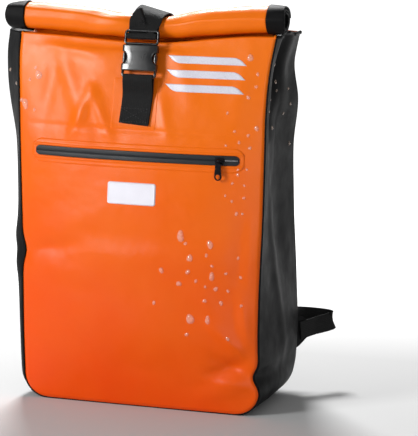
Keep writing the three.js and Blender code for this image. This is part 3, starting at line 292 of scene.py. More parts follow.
def tarpaulin(name, dark, light, rough, gloss, coat, scrim=0.0014):
    """Calendered PVC with painted light: the colour runs from the darker tone, painted shade, to the lighter one,
    painted light, along one direction, mostly upwards, plus slow noise; waves, orange-peel grain and the scrim are
    bump."""
    material, tree, shader, where = finish(name, IOR=1.53, Specular_IOR_Level=gloss, Coat_Weight=coat,
                                           Coat_Roughness=0.2)
    place, sheet_uv = where.outputs["Object"], where.outputs["UV"]
    drift = add(tree, "TexNoise", {"Vector": place, "Scale": 9.0, "Detail": 4.0}).outputs["Fac"]
    # Painted shade and light: the share of the lighter tone grows with height along this way, and the noise adds random
    # tone.
    level = add(tree, "VectorMath", {0: place, 1: PAINTED_LIGHT_WAY}, operation="DOT_PRODUCT").outputs["Value"]
    rise = add(tree, "MapRange", {"Value": level, 1: 0.03, 2: 0.50, 3: -0.15, 4: 0.6}).outputs[0]
    share = add(tree, "Math", {0: drift, 1: 0.4, 2: rise}, operation="MULTIPLY_ADD", use_clamp=True).outputs[0]
    tint = add(tree, "Mix", {0: share, 6: linear(dark), 7: linear(light)}, data_type="RGBA")
    tree.links.new(tint.outputs[2], shader.inputs["Base Color"])
    haze = add(tree, "TexNoise", {"Vector": place, "Scale": 38.0, "Detail": 5.0}).outputs["Fac"]
    shine = add(tree, "MapRange", {"Value": haze, 1: 0.3, 2: 0.7, 3: rough - 0.05, 4: rough + 0.07})
    tree.links.new(shine.outputs[0], shader.inputs["Roughness"])
    slow = add(tree, "TexNoise", {"Vector": place, "Scale": 24.0, "Detail": 2.0}).outputs["Fac"]
    grain = add(tree, "TexNoise", {"Vector": place, "Scale": 420.0, "Detail": 2.0}).outputs["Fac"]
    warp, weft = bands(tree, sheet_uv, "X", scrim), bands(tree, sheet_uv, "Y", scrim)
    bumps(tree, shader, (slow, 0.0016), (grain, 0.00008), (warp, 0.00003), (weft, 0.00003))
    return material


# Each gets a darker tone, painted shade low down, and a lighter tone, painted light up high.
orange = tarpaulin("pvc_tarpaulin_orange", "DE4600", "E8760C", 0.33, gloss=0.18, coat=0.03)
black = tarpaulin("pvc_tarpaulin_black", "040405", "0C0C0D", 0.55, gloss=0.11, coat=0.0)
print("tarpaulin:", len(orange.node_tree.nodes), "nodes each")

# %% [markdown]
# ## The body's shape
# The bag isn't a box: it leans back and narrows upwards, its front is crowned by the air inside, and the sides fold
# where the mouth is rolled. A table of sections, one row for each height, holds all of that as shares of three
# lengths, so the same numbers serve the front, the sides and the back.

# %% Section table
WIDTH, DEPTH, HEIGHT = 0.325, 0.165, 0.486
CORNER, WALL, GAP = 0.032, 0.002, 0.0003
SHIFT = np.array([0.0055806, -0.0288062, 0.0])
COLUMNS = ["height", "front_left", "front_right", "back_left", "back_right", "front", "back", "crown",
           "left_fold", "left_crest", "right_fold"]
SECTIONS = np.array([
    [0.00, 0.500, 0.500, 0.492, 0.492, 0.000, 0.850, 0.02, 0.000, 0.10, 0.000],
    [0.05, 0.502, 0.502, 0.497, 0.500, 0.000, 0.940, 0.05, 0.045, 0.10, 0.020],
    [0.10, 0.505, 0.500, 0.502, 0.508, 0.000, 0.990, 0.08, 0.056, 0.10, 0.030],
    [0.20, 0.511, 0.492, 0.508, 0.511, 0.000, 1.000, 0.12, 0.060, 0.10, 0.030],
    [0.32, 0.517, 0.490, 0.511, 0.502, 0.010, 1.000, 0.14, 0.080, 0.12, 0.000],
    [0.41, 0.522, 0.492, 0.511, 0.496, 0.018, 0.985, 0.15, 0.113, 0.12, -0.020],
    [0.48, 0.526, 0.494, 0.512, 0.490, 0.027, 0.975, 0.15, 0.090, 0.15, -0.035],
    [0.56, 0.533, 0.494, 0.514, 0.486, 0.040, 0.960, 0.15, 0.096, 0.20, -0.045],
    [0.70, 0.545, 0.492, 0.517, 0.484, 0.060, 0.930, 0.13, 0.142, 0.28, -0.050],
    [0.82, 0.556, 0.489, 0.520, 0.502, 0.090, 0.900, 0.09, 0.203, 0.30, -0.040],
    [0.92, 0.565, 0.498, 0.520, 0.487, 0.120, 0.870, 0.06, 0.215, 0.30, -0.030],
    [1.00, 0.564, 0.516, 0.515, 0.512, 0.150, 0.840, 0.03, 0.205, 0.30, 0.030],
])
PINCHES = [(1, 0.105, 0.024, 0.036), (-1, 0.405, 0.016, 0.05)]
SAG_ACROSS = [-0.62, -0.35, -0.15, -0.03, 0.1, 0.25, 0.4, 0.6]
SAG_LIFT = [-0.008, -0.014, -0.021, -0.023, -0.019, -0.007, 0.003, 0.007]
RAMP_FOOT, RAMP_TOP = 0.945, 0.99


def section(z, name):
    """One column of the section table at a height."""
    return through(SECTIONS[:, 0], SECTIONS[:, COLUMNS.index(name)], np.asarray(z) / HEIGHT)


def front_edge(z):
    return (section(z, "front") - 0.5) * DEPTH


def back_edge(z):
    return (section(z, "back") - 0.5) * DEPTH


def half_width(edge, side, z):
    """Half width of the front or back outline at a height, less the bell-shaped pinches of its edge."""
    wide = np.where(np.asarray(side) < 0, section(z, edge + "_left"), section(z, edge + "_right")) * WIDTH
    if edge == "front":
        for of_side, height, depth, spread in PINCHES:
            bell = depth * WIDTH * np.exp(-(((z - height * HEIGHT) / (spread * WIDTH)) ** 2))
            wide = wide - np.where(np.asarray(side) == of_side, bell, 0)
    return wide


def placed(x, y, z):
    """Points from three arrays in the bag's own place, the top pulled down by the strap: sag, faded in at the top."""
    x, y, z = np.broadcast_arrays(x, y, z)
    drop = through(SAG_ACROSS, SAG_LIFT, x / WIDTH) * HEIGHT
    sunk = z + drop * eased((z / HEIGHT - RAMP_FOOT) / (RAMP_TOP - RAMP_FOOT))
    return np.stack([x, y, sunk], axis=-1) + SHIFT


def outline(edge, side, angle, z, inset):
    """Half width and height on an outline's side: straight above the corner, and round it below."""
    x = half_width(edge, side, z) - CORNER + np.sin(angle) * (CORNER - inset)
    return x, np.where(angle < np.pi / 2 - 1e-9, CORNER - np.cos(angle) * (CORNER - inset), z)


def wall_rows(count, corner=14, top=HEIGHT):
    """Angles and heights of the rows up a side: first round the corner, then up the wall."""
    angle = np.concatenate([np.linspace(0, np.pi / 2, corner), np.full(count, np.pi / 2)])
    return angle, np.concatenate([CORNER * (1 - np.cos(angle[:corner])), np.linspace(CORNER, top, count + 1)[1:]])


print("sections:", len(SECTIONS), "rows for a height of", HEIGHT)

# %% [markdown]
# ## Creases in the orange front
# Tarpaulin doesn't drape: it buckles into a few long, soft ridges that start where something pulls at it, such as
# the pinched corner at the lower right. Each crease here is a line with a height and a spread, and the front's depth
# is moved by a bell-shaped hump along it. The cut edge turns in a little, which draws a thin light line beside the
# black band.

# %% Relief of the front
# Each crease: from x, z to x, z, then its height outwards and its half spread, all in millimetres.
CREASES = np.array([
    [158, 66, 100, 118, 4.2, 8],
    [156, 52, 104, 74, -4.0, 8],
    [154, 42, 84, 46, 3.0, 8],
    [157, 70, 132, 168, 3.0, 8],
    [136, 92, 84, 160, 1.6, 11],
    [146, 100, 150, 250, 2.2, 9],
    [130, 120, 136, 260, -1.8, 9],
    [-168, 196, -90, 210, -3.0, 9],
    [-168, 212, -60, 250, 0.8, 14],
    [-166, 180, -70, 166, 0.9, 14],
    [-110, 226, 96, 222, -1.2, 16],
    [-60, 196, 110, 204, 1.3, 18],
    [-122, 462, -78, 354, 2.4, 12],
    [-74, 412, -98, 352, 2.8, 8],
    [-74, 412, -44, 352, 2.6, 8],
    [-138, 470, -62, 456, 2.4, 10],
    [-130, 440, -142, 372, -1.8, 11],
    [34, 470, 62, 400, 1.6, 12],
    [22, 404, 34, 356, 1.8, 8],
    [136, 470, 120, 380, 1.4, 12],
    [-160, 364, 140, 362, -1.0, 3.4],
    [-64, 128, 60, 92, 1.4, 22],
    [-140, 90, -60, 36, -1.4, 16],
    [-20, 60, 70, 34, -1.2, 14],
]) / 1000.0
DENTS = [(0.82, 0.135, 0.035, 0.14, 0.035, 28), (0.8, 0.075, -0.02, 0.12, 0.035, 18),
         (-0.86, 0.45, 0.010, 0.13, 0.04, -35), (-0.42, 0.83, -0.02, 0.2, 0.09, 75)]
LIP_WIDTH, LIP_DEPTH = 0.0035, 0.0016


def ridge(x, z, crease):
    """Bell-shaped hump along a line: full height in its middle, fading over its ends."""
    x0, z0, x1, z1, height, spread = crease
    dx, dz = x1 - x0, z1 - z0
    length = math.hypot(dx, dz)
    s = ((x - x0) * dx + (z - z0) * dz) / length
    off = ((x - x0) * dz - (z - z0) * dx) / length
    past = np.maximum(0, np.maximum(-s, s - length)) / spread
    taper = 0.45 + 0.55 * np.sin(np.pi * np.clip(s / length, 0, 1)) ** 0.7
    return height * taper * np.exp(-((off / spread) ** 2) - past**2)


def to_edge(x, z):
    """Distance in from the front's outline: straight to a side or the base, or to the round corner's arc."""
    wide = half_width("front", np.where(x < 0, -1, 1), z)
    dx, dz = np.maximum(np.abs(x) - (wide - CORNER), 0), np.maximum(CORNER - z, 0)
    return CORNER - WALL - GAP - np.hypot(dx, dz)


def front_depth(across, x, z, fine=True):
    """Depth of the front's outer face: its edge, less the crown, plus dents; creases stand out of it."""
    across = np.clip(across, -1, 1)
    dents = 0
    for a, h, depth, along, over, turn in DENTS:
        c, s = math.cos(math.radians(turn)), math.sin(math.radians(turn))
        dx, dz = (across - a) * WIDTH / 2, z - h * HEIGHT
        one, two = (dx * c + dz * s) / (along * WIDTH), (dz * c - dx * s) / (over * WIDTH)
        dents = dents + depth * DEPTH * np.exp(-(one**2) - two**2)
    rim = 1 - np.abs(across) ** 6
    y = front_edge(z) - (1 - across**2) ** 0.8 * section(z, "crown") * DEPTH + dents * rim
    if fine:
        lip = np.clip(1 - to_edge(x, z) / LIP_WIDTH, 0, 1) ** 2 * LIP_DEPTH
        y = y + lip - sum(ridge(x, z, crease) for crease in CREASES) * rim
    return y


def on_front(x, z, lift=0.0, fine=True):
    """Points on the front straight ahead of a place, lifted along the surface's normal, and that normal."""
    def at(px, pz):
        return placed(px, front_depth(px / half_width("front", np.sign(px), pz), px, pz, fine), pz)

    x, z = np.broadcast_arrays(np.asarray(x, float), np.asarray(z, float))
    p = at(x, z)
    normal = unit(np.cross(at(x + 0.001, z) - p, at(x, z + 0.001) - p))
    return p + normal * np.asarray(lift)[..., None], normal


print("creases:", len(CREASES))

# %% [markdown]
# ## The rolled mouth, seen from its end
# The top of the bag is flattened and rolled forward over itself. From the end it is a spiral that starts at the back,
# turns over the top and down the front, and its radius shrinks by one pitch each turn. The strap squeezes its
# middle, and short creases fan out from there.

# %% Roll sizes
ROLL_RADIUS, ROLL_PITCH, ROLL_TURNS, ROLL_FLATTEN = 0.0195, 0.0042, 2.3, 1.12
TUCK_RISE, ROLL_OVERHANG, ROLL_CLEARANCE = 0.0025, 0.008, 0.0015
LEFT_SEAM, RIGHT_SEAM = 0.175, 0.154
LEFT_EAR, RIGHT_EAR, RIGHT_CREST = 0.027, 0.023, 0.5
SQUEEZE_ACROSS = [-0.62, -0.3, -0.12, -0.02, 0.08, 0.2, 0.6]
SQUEEZE = [0.97, 1, 0.9, 0.8, 0.82, 0.98, 0.97]


def roll_span(angle):
    """Radius of the spiral after an angle."""
    return ROLL_RADIUS - ROLL_PITCH * angle / (2 * np.pi)


ROLL_HEIGHT = HEIGHT + TUCK_RISE + ROLL_CLEARANCE + roll_span(1.5 * np.pi)
ROLL_DEPTH = float(front_edge(HEIGHT)) - ROLL_OVERHANG + roll_span(np.pi) * ROLL_FLATTEN
NECK_DEPTH = ROLL_DEPTH + ROLL_RADIUS * ROLL_FLATTEN
NECK_FRONT = NECK_DEPTH - 2 * WALL - GAP


def roll_ripple(x, angle):
    """Ripples of the roll: shallow folds that fan out from under the strap, and one long crease each side of it."""
    d = (x + 0.0075) / WIDTH
    fan = np.sin(angle * 2.2 + d * 34) * np.exp(-((d / 0.2) ** 2)) * 0.0010
    crease = np.exp(-(((np.mod(angle, 2 * np.pi) - 2.75 - 0.6 * d) / 0.2) ** 2)) * eased((np.abs(d) - 0.05) / 0.14)
    return (fan + 0.0012 * crease + 0.0007 * np.sin(d * 11 + 0.7) * np.sin(angle + 0.4)) * eased(angle / 1.5)


def roll_points(x, angle, fine=True):
    """The spiral at a place across and an angle; the strap squeezes its height towards its foot."""
    squeeze = through(SQUEEZE_ACROSS, SQUEEZE, x / WIDTH)
    r = roll_span(angle) + (roll_ripple(x, angle) if fine else 0)
    foot = ROLL_HEIGHT - roll_span(1.5 * np.pi)
    z = foot + (ROLL_HEIGHT + r * np.sin(angle) - foot) * squeeze
    return np.broadcast_arrays(x, ROLL_DEPTH + r * ROLL_FLATTEN * np.cos(angle), z)


def closing(edge, side, share):
    """Half width between the body's top and the roll's seam, for the folds that close the mouth."""
    return mix(half_width(edge, side, HEIGHT), np.where(np.asarray(side) < 0, LEFT_SEAM, RIGHT_SEAM), share)


def slope_point(share):
    """The collar's line from the back's shoulder, share 0, up to the neck, share 1."""
    y = mix(float(back_edge(HEIGHT)) + WALL + GAP, NECK_DEPTH, share)
    return y, HEIGHT + (ROLL_HEIGHT - HEIGHT) * (0.04 + 0.6 * share**1.3)


print("roll's middle at height", round(float(ROLL_HEIGHT), 4))

# %% Front panel
def front_grid():
    """Rows up the front, then in under the roll; columns from the left edge to the right, closer at the edges."""
    angle, z = [a[:, None] for a in wall_rows(200)]
    u = (np.sin(np.linspace(-1, 1, 181) * 1.35) / math.sin(1.35))[None, :]
    side = np.where(u < 0, -1, 1)
    reach, low = outline("front", side, angle, z, WALL - GAP)
    x = u * reach
    wall = placed(x, front_depth(x / half_width("front", side, z), x, low + 0 * x), low)
    share = np.array([0.02, 0.05, 0.1, 0.2, 0.4, 0.65, 0.86, 0.97, 1.0])[:, None]
    rise = through([0.02, 0.1, 0.5, 0.86, 0.97, 1.0], [0.55, 0.8, 1, 1, 2, 4.2], share)
    crown = (1 - u**2) ** 0.8 * SECTIONS[-1, 7] * DEPTH * (1 - share) ** 2
    x = u * (closing("front", side, share) - WALL + GAP)
    tuck = placed(x, mix(float(front_edge(HEIGHT)), NECK_FRONT, share) - crown, HEIGHT + TUCK_RISE * (rise - 1))
    return np.concatenate([wall, tuck])


front_points = front_grid()
front = piece("front_tarpaulin", surface(front_points, flip=True), material=orange, slot="tarpaulin_orange", wall=WALL)
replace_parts(front, "front_panel")
print("front grid", front_points.shape[:2])

# %% [markdown]
# ## The black band
# One strip makes both sides and the base. The mouth's roll pulls the sides into folds: the left one stands out as a
# ridge, the right one falls in, with a valley that runs down and back. Small creases are bell-shaped humps again,
# drawn on the unrolled side: s is the share of the way from the front edge to the back edge.

# %% Side creases
# Each crease: from s, z to s, z, then its height outwards in millimetres and its half spread as a share of s.
SIDE_CREASES = {
    1: [(0.42, 492, 0.34, 440, -11.0, 0.13), (0.34, 445, 0.24, 372, -8.0, 0.11), (0.24, 385, 0.30, 350, -3.0, 0.10),
        (0.38, 385, 0.90, 352, -4.0, 0.10), (0.62, 470, 0.56, 380, 3.5, 0.14), (0.85, 402, 0.80, 372, 2.5, 0.14),
        (0.28, 300, 0.40, 200, 2.6, 0.08), (0.40, 205, 0.55, 60, 2.6, 0.08), (0.56, 300, 0.66, 180, -2.4, 0.12),
        (0.12, 470, 0.10, 260, 1.6, 0.08), (0.12, 60, 0.50, 48, 2.2, 0.09), (0.85, 90, 0.30, 30, -2.0, 0.10)],
    -1: [(0.18, 214, 0.20, 186, 2.0, 0.12), (0.55, 420, 0.50, 250, -3.0, 0.14), (0.70, 200, 0.60, 60, 2.0, 0.12)],
}


def side_relief(side, s, z):
    """Sum of one side's creases, fading to nothing at its two edges."""
    rows = [(s0 * DEPTH, z0 / 1000, s1 * DEPTH, z1 / 1000, height / 1000, spread * DEPTH)
            for s0, z0, s1, z1, height, spread in SIDE_CREASES[side]]
    return sum(ridge(s * DEPTH, z, row) for row in rows) * np.sin(np.pi * np.clip(s, 0, 1)) ** 0.5


def folded(front_line, back_line, out, fold, sharp, crest, s, relief):
    """Rows from the front edge to the back edge, pushed out by a fold that is round, or sharp at its crest."""
    q = np.where(s < crest, s / crest, (1 - s) / (1 - crest))
    push = fold * mix(np.sin(q * np.pi / 2), q, sharp) + relief
    return front_line + (back_line - front_line) * s[..., None] + out * push[..., None]


def band_side(side):
    """Rows up one side of the band, then the gable that closes in under the roll."""
    s = np.linspace(0, 1, 57)[None, :]
    angle, z = [a[:, None] for a in wall_rows(200)]
    name = "left_fold" if side < 0 else "right_fold"
    crest = section(z, "left_crest") if side < 0 else RIGHT_CREST
    fx, fz = outline("front", side, angle, z, 0)
    bx, bz = outline("back", side, angle, z, 0)
    out = np.stack([side * np.sin(angle), 0 * angle, -np.cos(angle)], -1)
    away = np.sin(angle) ** 2
    wall = folded(np.stack([side * fx, front_edge(z), fz], -1), np.stack([side * bx, back_edge(z), bz], -1), out,
                  section(z, name) * DEPTH * away, eased((z / HEIGHT - 0.45) / 0.35), crest, s,
                  side_relief(side, s, z) * away)
    share = np.array([0.02, 0.06, 0.12, 0.25, 0.4, 0.6, 0.86])[:, None]
    rise = through([0.02, 0.1, 0.5, 0.86, 0.97, 1.0], [0.55, 0.8, 1, 1, 2, 4.2], share)
    y, high = slope_point(share)
    front_line = np.stack([side * closing("front", side, share), mix(float(front_edge(HEIGHT)), NECK_FRONT, share),
                           HEIGHT + TUCK_RISE * (rise - 1)], -1)
    back_line = np.stack([side * closing("back", side, share), y, high - WALL - GAP], -1)
    fold = mix(float(section(HEIGHT, name)) * DEPTH, LEFT_EAR if side < 0 else RIGHT_EAR, share)
    crest = float(section(HEIGHT, "left_crest")) if side < 0 else RIGHT_CREST
    gable = folded(front_line, back_line, np.array([side, 0, 0]), fold, 1.0, crest, s,
                   side_relief(side, s, np.full_like(s, HEIGHT)) * (1 - share))
    whole = np.concatenate([wall, gable])
    return placed(whole[..., 0], whole[..., 1], whole[..., 2])


left_side, right_side = band_side(-1), band_side(1)
base = mix(left_side[0][None], right_side[0][None], np.linspace(0, 1, 50)[1:-1, None, None])
band_points = np.concatenate([left_side[::-1], base, right_side])
band = piece("gusset_tarpaulin", surface(band_points, flip=True), material=black, slot="tarpaulin_black", wall=WALL)
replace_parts(band, "gusset_band")
print("band grid", band_points.shape[:2])

# %% Back panel
BACK_SEAM, BACK_CROWN = 0.468, 0.03


def back_face(x, z):
    """Depth of the back's outer face: its edge plus a shallow crown."""
    u = x / half_width("back", np.sign(x), z)
    return back_edge(z) + BACK_CROWN * DEPTH * (1 - u * u) * np.sin(np.pi * z / HEIGHT) ** 2


def back_grid():
    """Rows up the back to the collar's seam, columns from left to right."""
    angle, z = [a[:, None] for a in wall_rows(80, corner=10, top=BACK_SEAM)]
    u = np.linspace(-1, 1, 61)[None, :]
    wide, low = outline("back", np.where(u < 0, -1, 1), angle, z, WALL - GAP)
    return placed(u * wide, back_face(u * wide, z), low)


back = piece("back_tarpaulin", surface(back_grid()), material=black, slot="tarpaulin_black", wall=WALL)
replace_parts(back, "back_panel")

# %% Rolled collar
COLLAR_INSET, SEAM_LAP = 0.004, 0.012


def collar_grid():
    """Rows lapped over the back, up the slope to the neck and round the spiral; columns across."""
    u = np.linspace(0, 1, 171)[None, :]
    z = np.linspace(BACK_SEAM - SEAM_LAP, HEIGHT - 0.004, 8)[:, None]
    left, right = [half_width("back", side, z) - COLLAR_INSET for side in (-1, 1)]
    x = mix(-left, right, u)
    lap = placed(x, back_face(x, z) + WALL + GAP, z + 0 * x)
    share = np.linspace(0.03, 0.88, 20)[:, None]
    inset = COLLAR_INSET * (1 - share)
    x = mix(-closing("back", -1, share) + inset, closing("back", 1, share) - inset, u)
    y, z = slope_point(share)
    slope = placed(x, y, z + 0.0010 * np.sin(x * 95 + share * 4) * np.sin(np.pi * share))
    turn = np.linspace(-0.25, ROLL_TURNS * 2 * np.pi, 180)[:, None]
    return np.concatenate([lap, slope, placed(*roll_points(mix(-LEFT_SEAM, RIGHT_SEAM, u), turn))])


collar = piece("rolled_tarpaulin", surface(collar_grid()), material=orange, slot="tarpaulin_orange", wall=WALL)
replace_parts(collar, "rolled_collar")

# %% Black ends of the roll
def roll_end_grid(side):
    """The spiral carried on past the seam, drawn in towards its own middle, with flat facets where it is folded."""
    t = np.linspace(0, 1, 24)[None, :]
    turn = np.linspace(0.1, ROLL_TURNS * 2 * np.pi, 150)[:, None]
    ahead = np.maximum(0, -np.cos(turn))
    point = 0.72 + 0.28 * ahead if side < 0 else 0.9 + 0.1 * ahead
    reach, seam = (LEFT_EAR, LEFT_SEAM) if side < 0 else (RIGHT_EAR, RIGHT_SEAM)
    x, y, z = roll_points(side * (seam + GAP + t * reach * point), turn)
    pinched = 1 - (0.16 if side < 0 else 0.08) * t * t
    facet = 0.0012 * np.sin(turn * 3 + 1) * t
    return placed(x, mix(ROLL_DEPTH, y, pinched) + facet * np.cos(turn),
                  mix(ROLL_HEIGHT, z, pinched) + facet * np.sin(turn))


for side, word in ((-1, "left"), (1, "right")):
    tip = piece(f"roll_tip_{word}", surface(roll_end_grid(side), flip=side > 0), material=black,
                slot="tarpaulin_black", wall=WALL)
    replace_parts(tip, f"roll_end_{word}")

# %% [markdown]
# ## Patches welded on the front
# The zip's window, the label and the stripes are thin sheets that follow the front. Each is a grid on the front with
# rounded corners, lifted by its own thickness, and its rim falls below the tarpaulin, so no edge floats.

# %% Patch helpers
def patch(across, level, half, tall, radius, lift, columns=30, v=None, bevel=0.0012, shift=None):
    """Grid of a rounded patch: x runs along it and its height shrinks round the corners; lift takes the distance to
    the edge and the height above the middle; shift slants it."""
    corner = radius * (1 - np.sin(np.linspace(0, np.pi / 2, 10)))
    x = np.concatenate([-half + corner[::-1], np.linspace(-half + radius, half - radius, columns)[1:-1], half - corner])
    x = np.sort(x)[:, None]
    past = np.maximum(0, np.abs(x) - (half - radius))
    room = np.maximum(tall - radius + np.sqrt(np.maximum(0, radius**2 - past**2)), 0.0002)
    if v is None:
        edge = 1 - bevel / tall * np.array([0, 0.15, 0.4, 0.7, 1.0])
        v = np.concatenate([-edge, np.linspace(-edge[-1], edge[-1], 9)[1:-1], edge[::-1]])
    z = v[None, :] * room
    d = np.minimum(half - np.abs(x), room - np.abs(z))
    slanted = x + (shift(x / half, v[None, :]) if shift else 0)
    return on_front(across + slanted, level + z, lift(np.maximum(d, 0), z))[0]


def thin(height, edge=0.0008, sunk=-0.0006):
    """Lift of a thin patch: below the surface at its rim, rounded, then level."""
    return lambda d, z: mix(sunk, height, np.sqrt(np.clip(d / edge, 0, 1)))


# %% Label and stripes
# Moulded soft PVC: matt white with a slight bluish cast; the patch is blank, with a fine raised border.
label_white, tree, shader, where = finish("moulded_pvc_white", IOR=1.5)
mottle = add(tree, "TexNoise", {"Vector": where.outputs["Object"], "Scale": 60.0, "Detail": 4.0}).outputs["Fac"]
tint = add(tree, "Mix", {0: mottle, 6: linear("D6D5DE"), 7: linear("E2E1EA")}, data_type="RGBA")
tree.links.new(tint.outputs[2], shader.inputs["Base Color"])
shine = add(tree, "MapRange", {"Value": mottle, 3: 0.42, 4: 0.6})
tree.links.new(shine.outputs[0], shader.inputs["Roughness"])
skin = add(tree, "TexNoise", {"Vector": where.outputs["Object"], "Scale": 900.0}).outputs["Fac"]
bumps(tree, shader, (skin, 0.00006))

# Reflective film: glass beads under a clear face. By day it is a pale lavender grey with a fine sparkle.
film, tree, shader, where = finish("glass_bead_film", IOR=1.5, Coat_Weight=0.3, Coat_Roughness=0.15)
beads = add(tree, "TexVoronoi", {"Vector": where.outputs["Object"], "Scale": 1200.0}).outputs["Distance"]
tint = add(tree, "Mix", {0: beads, 6: linear("DCDAE2"), 7: linear("BDBBC8")}, data_type="RGBA")
tree.links.new(tint.outputs[2], shader.inputs["Base Color"])
shine = add(tree, "MapRange", {"Value": beads, 3: 0.3, 4: 0.5})
tree.links.new(shine.outputs[0], shader.inputs["Roughness"])
bumps(tree, shader, (beads, 0.00005))


def label_lift(d, z):
    """Patch thickness with a raised border: a bell 1.7 mm in from the edge."""
    return thin(0.0013, 0.0012)(d, z) + 0.0004 * np.exp(-(((d - 0.0017) / 0.0005) ** 2))


v = np.sort(np.concatenate([np.linspace(-1, -0.8, 14), np.linspace(-0.75, 0.75, 9), np.linspace(0.8, 1, 14)]))
label = piece("blank_label", surface(patch(-0.0105, 0.2825, 0.033, 0.0145, 0.0035, label_lift, v=v, columns=60)),
              material=label_white, slot="label_white", wall=0.0008)
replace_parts(label, "label_patch")

STRIPE_SLANT = 0.011


def stripe_shift(s, v):
    """Slanted ends: the top goes left and the base right, and each blunt corner is drawn in by a quarter circle."""
    round_off = 0.0075 * (1 - np.sqrt(1 - np.clip((np.abs(v) - 0.1) / 0.9, 0, 1) ** 2))
    inward = np.where(s * v > 0, -np.sign(s) * round_off * eased((np.abs(s) - 0.7) / 0.3), 0)
    return -v * STRIPE_SLANT / 2 + inward


for k in range(3):
    grid = patch(0.0785 - k * 0.0005, 0.4555 - k * 0.018, 0.047, 0.005, 0.0004, thin(0.0009), bevel=0.001,
                 columns=50, shift=stripe_shift)
    made = piece(f"reflective_film_{k + 1}", surface(grid), material=film, slot="reflective_film", wall=0.0006)
    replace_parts(made, f"reflective_stripe_{k + 1}")
print("label and 3 stripes")

# %% [markdown]
# ## The pocket's zip
# A water-repellent zip is a coil zip whose tapes are laminated with polyurethane film and meet over the coil, so a
# closed one shows two flat black lips and a groove. It sits in a raised orange window that was pressed and welded
# round it, which catches the light above the zip.

# %% Zip and its window
ZIP_ACROSS, ZIP_LEVEL, ZIP_HALF, ZIP_TALL = -0.010, 0.3305, 0.1395, 0.007

# Polyurethane film on knitted tape: blue-black, satin, with the coil's turns faintly pressed through.
zip_film, tree, shader, where = finish("polyurethane_film_black", IOR=1.5, Specular_IOR_Level=0.3)
cloud = add(tree, "TexNoise", {"Vector": where.outputs["Object"], "Scale": 30.0, "Detail": 5.0}).outputs["Fac"]
tint = add(tree, "Mix", {0: cloud, 6: linear("0B0D10"), 7: linear("181C22")}, data_type="RGBA")
tree.links.new(tint.outputs[2], shader.inputs["Base Color"])
shine = add(tree, "MapRange", {"Value": cloud, 3: 0.34, 4: 0.56})
tree.links.new(shine.outputs[0], shader.inputs["Roughness"])
bumps(tree, shader, (bands(tree, where.outputs["UV"], "Y", 0.0018), 0.00005), (cloud, 0.0006))


def window_lift(d, z):
    """A welded plateau: a rounded step up at its rim, level inside, and a second rise beside the zip."""
    step = thin(0.0010, 0.0022)(d, z)
    lip = 0.0011 * np.exp(-(((np.abs(z) - ZIP_TALL - 0.0012) / 0.0013) ** 2))
    return step + lip


def zip_lift(d, z):
    """Two lips: each a low arch, sunk below the orange at its rim and parted by a groove along the middle."""
    arch = 0.0017 + 0.0006 * np.sqrt(np.clip(1 - ((np.abs(z) - 0.0036) / 0.0038) ** 2, 0, 1))
    groove = 0.0005 * np.exp(-((z / 0.0005) ** 2))
    return mix(-0.0004, arch - groove, eased(d / 0.0010))


v = np.sort(np.concatenate([np.linspace(-1, -0.82, 9), np.linspace(-0.8, -0.3, 12), np.linspace(-0.28, 0.28, 6),
                            np.linspace(0.3, 0.8, 12), np.linspace(0.82, 1, 9)]))
piece("zip_window", surface(patch(ZIP_ACROSS, ZIP_LEVEL, ZIP_HALF + 0.006, 0.016, 0.014, window_lift, v=v,
                                  columns=120)), material=orange, slot="tarpaulin_orange", wall=0.0006)
v = np.sort(np.concatenate([np.linspace(-1, -0.85, 7), np.linspace(-0.8, -0.2, 8), np.linspace(-0.17, 0.17, 9),
                            np.linspace(0.2, 0.8, 8), np.linspace(0.85, 1, 7)]))
lips = piece("zip_lips", surface(patch(ZIP_ACROSS, ZIP_LEVEL, ZIP_HALF, ZIP_TALL, ZIP_TALL, zip_lift, v=v,
                                       columns=120)), material=zip_film, slot="coated_zip", wall=0.0008)
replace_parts(lips, "front_zip")
print("zip", 2 * ZIP_HALF, "m long")

# %% [markdown]
# ## Small shapes made many times
# A coil's turns and a seam's stitches are one bead, copied. A copy is the bead's own three coordinates run along three
# directions, so one array product places them all.

# %% The zip's coil, and stitches
COIL_FROM, COIL_TO, COIL_PITCH, COIL_LIFT = 0.1115, 0.1265, 0.0016, 0.0023
STITCH_PITCH, STITCH_LONG, THREAD = 0.0038, 0.0028, 0.0007


def copies(base, at, *frame_axes):
    """One surface for each place: the base shape's three coordinates run along three directions given there."""
    axes = np.stack([np.broadcast_to(a, at.shape) for a in frame_axes], 1)
    return [surface(grid, ring=True) for grid in at[:, None, None] + np.einsum("rcm,nmk->nrck", base, axes)]


def bead(long, wide, deep, rings=5, around=8):
    """A capsule-like bead: its radius falls towards both ends as the power 0.35 of one less the square of the way."""
    t = np.linspace(-0.96, 0.96, rings)[:, None]
    turn = np.linspace(0, 2 * np.pi, around, endpoint=False)[None, :]
    r = (1 - t**2) ** 0.35
    return np.stack(np.broadcast_arrays(t * long / 2, r * np.cos(turn) * wide / 2, r * np.sin(turn) * deep / 2), -1)


def directions(line, normal):
    """Along a line, across it and out of the surface, at each of its points."""
    along = heading(line)
    return along, unit(np.cross(normal, along)), normal


# Moulded coil: pale nylon turns that show in the groove in the short open stretch past the slider.
nylon, tree, shader, where = finish("nylon_coil_grey", IOR=1.53, Roughness=0.4)
speck = add(tree, "TexNoise", {"Vector": where.outputs["Object"], "Scale": 400.0}).outputs["Fac"]
tint = add(tree, "Mix", {0: speck, 6: linear("8C8C90"), 7: linear("C4C4C8")}, data_type="RGBA")
tree.links.new(tint.outputs[2], shader.inputs["Base Color"])
teeth_at, teeth_out = on_front(np.arange(COIL_FROM, COIL_TO, COIL_PITCH), ZIP_LEVEL + 0.0002, COIL_LIFT)
along, over, out = directions(teeth_at, teeth_out)
piece("zip_coil", *copies(bead(0.0022, 0.0009, 0.0010), teeth_at, over, along, out),
      material=nylon, slot="coated_zip")

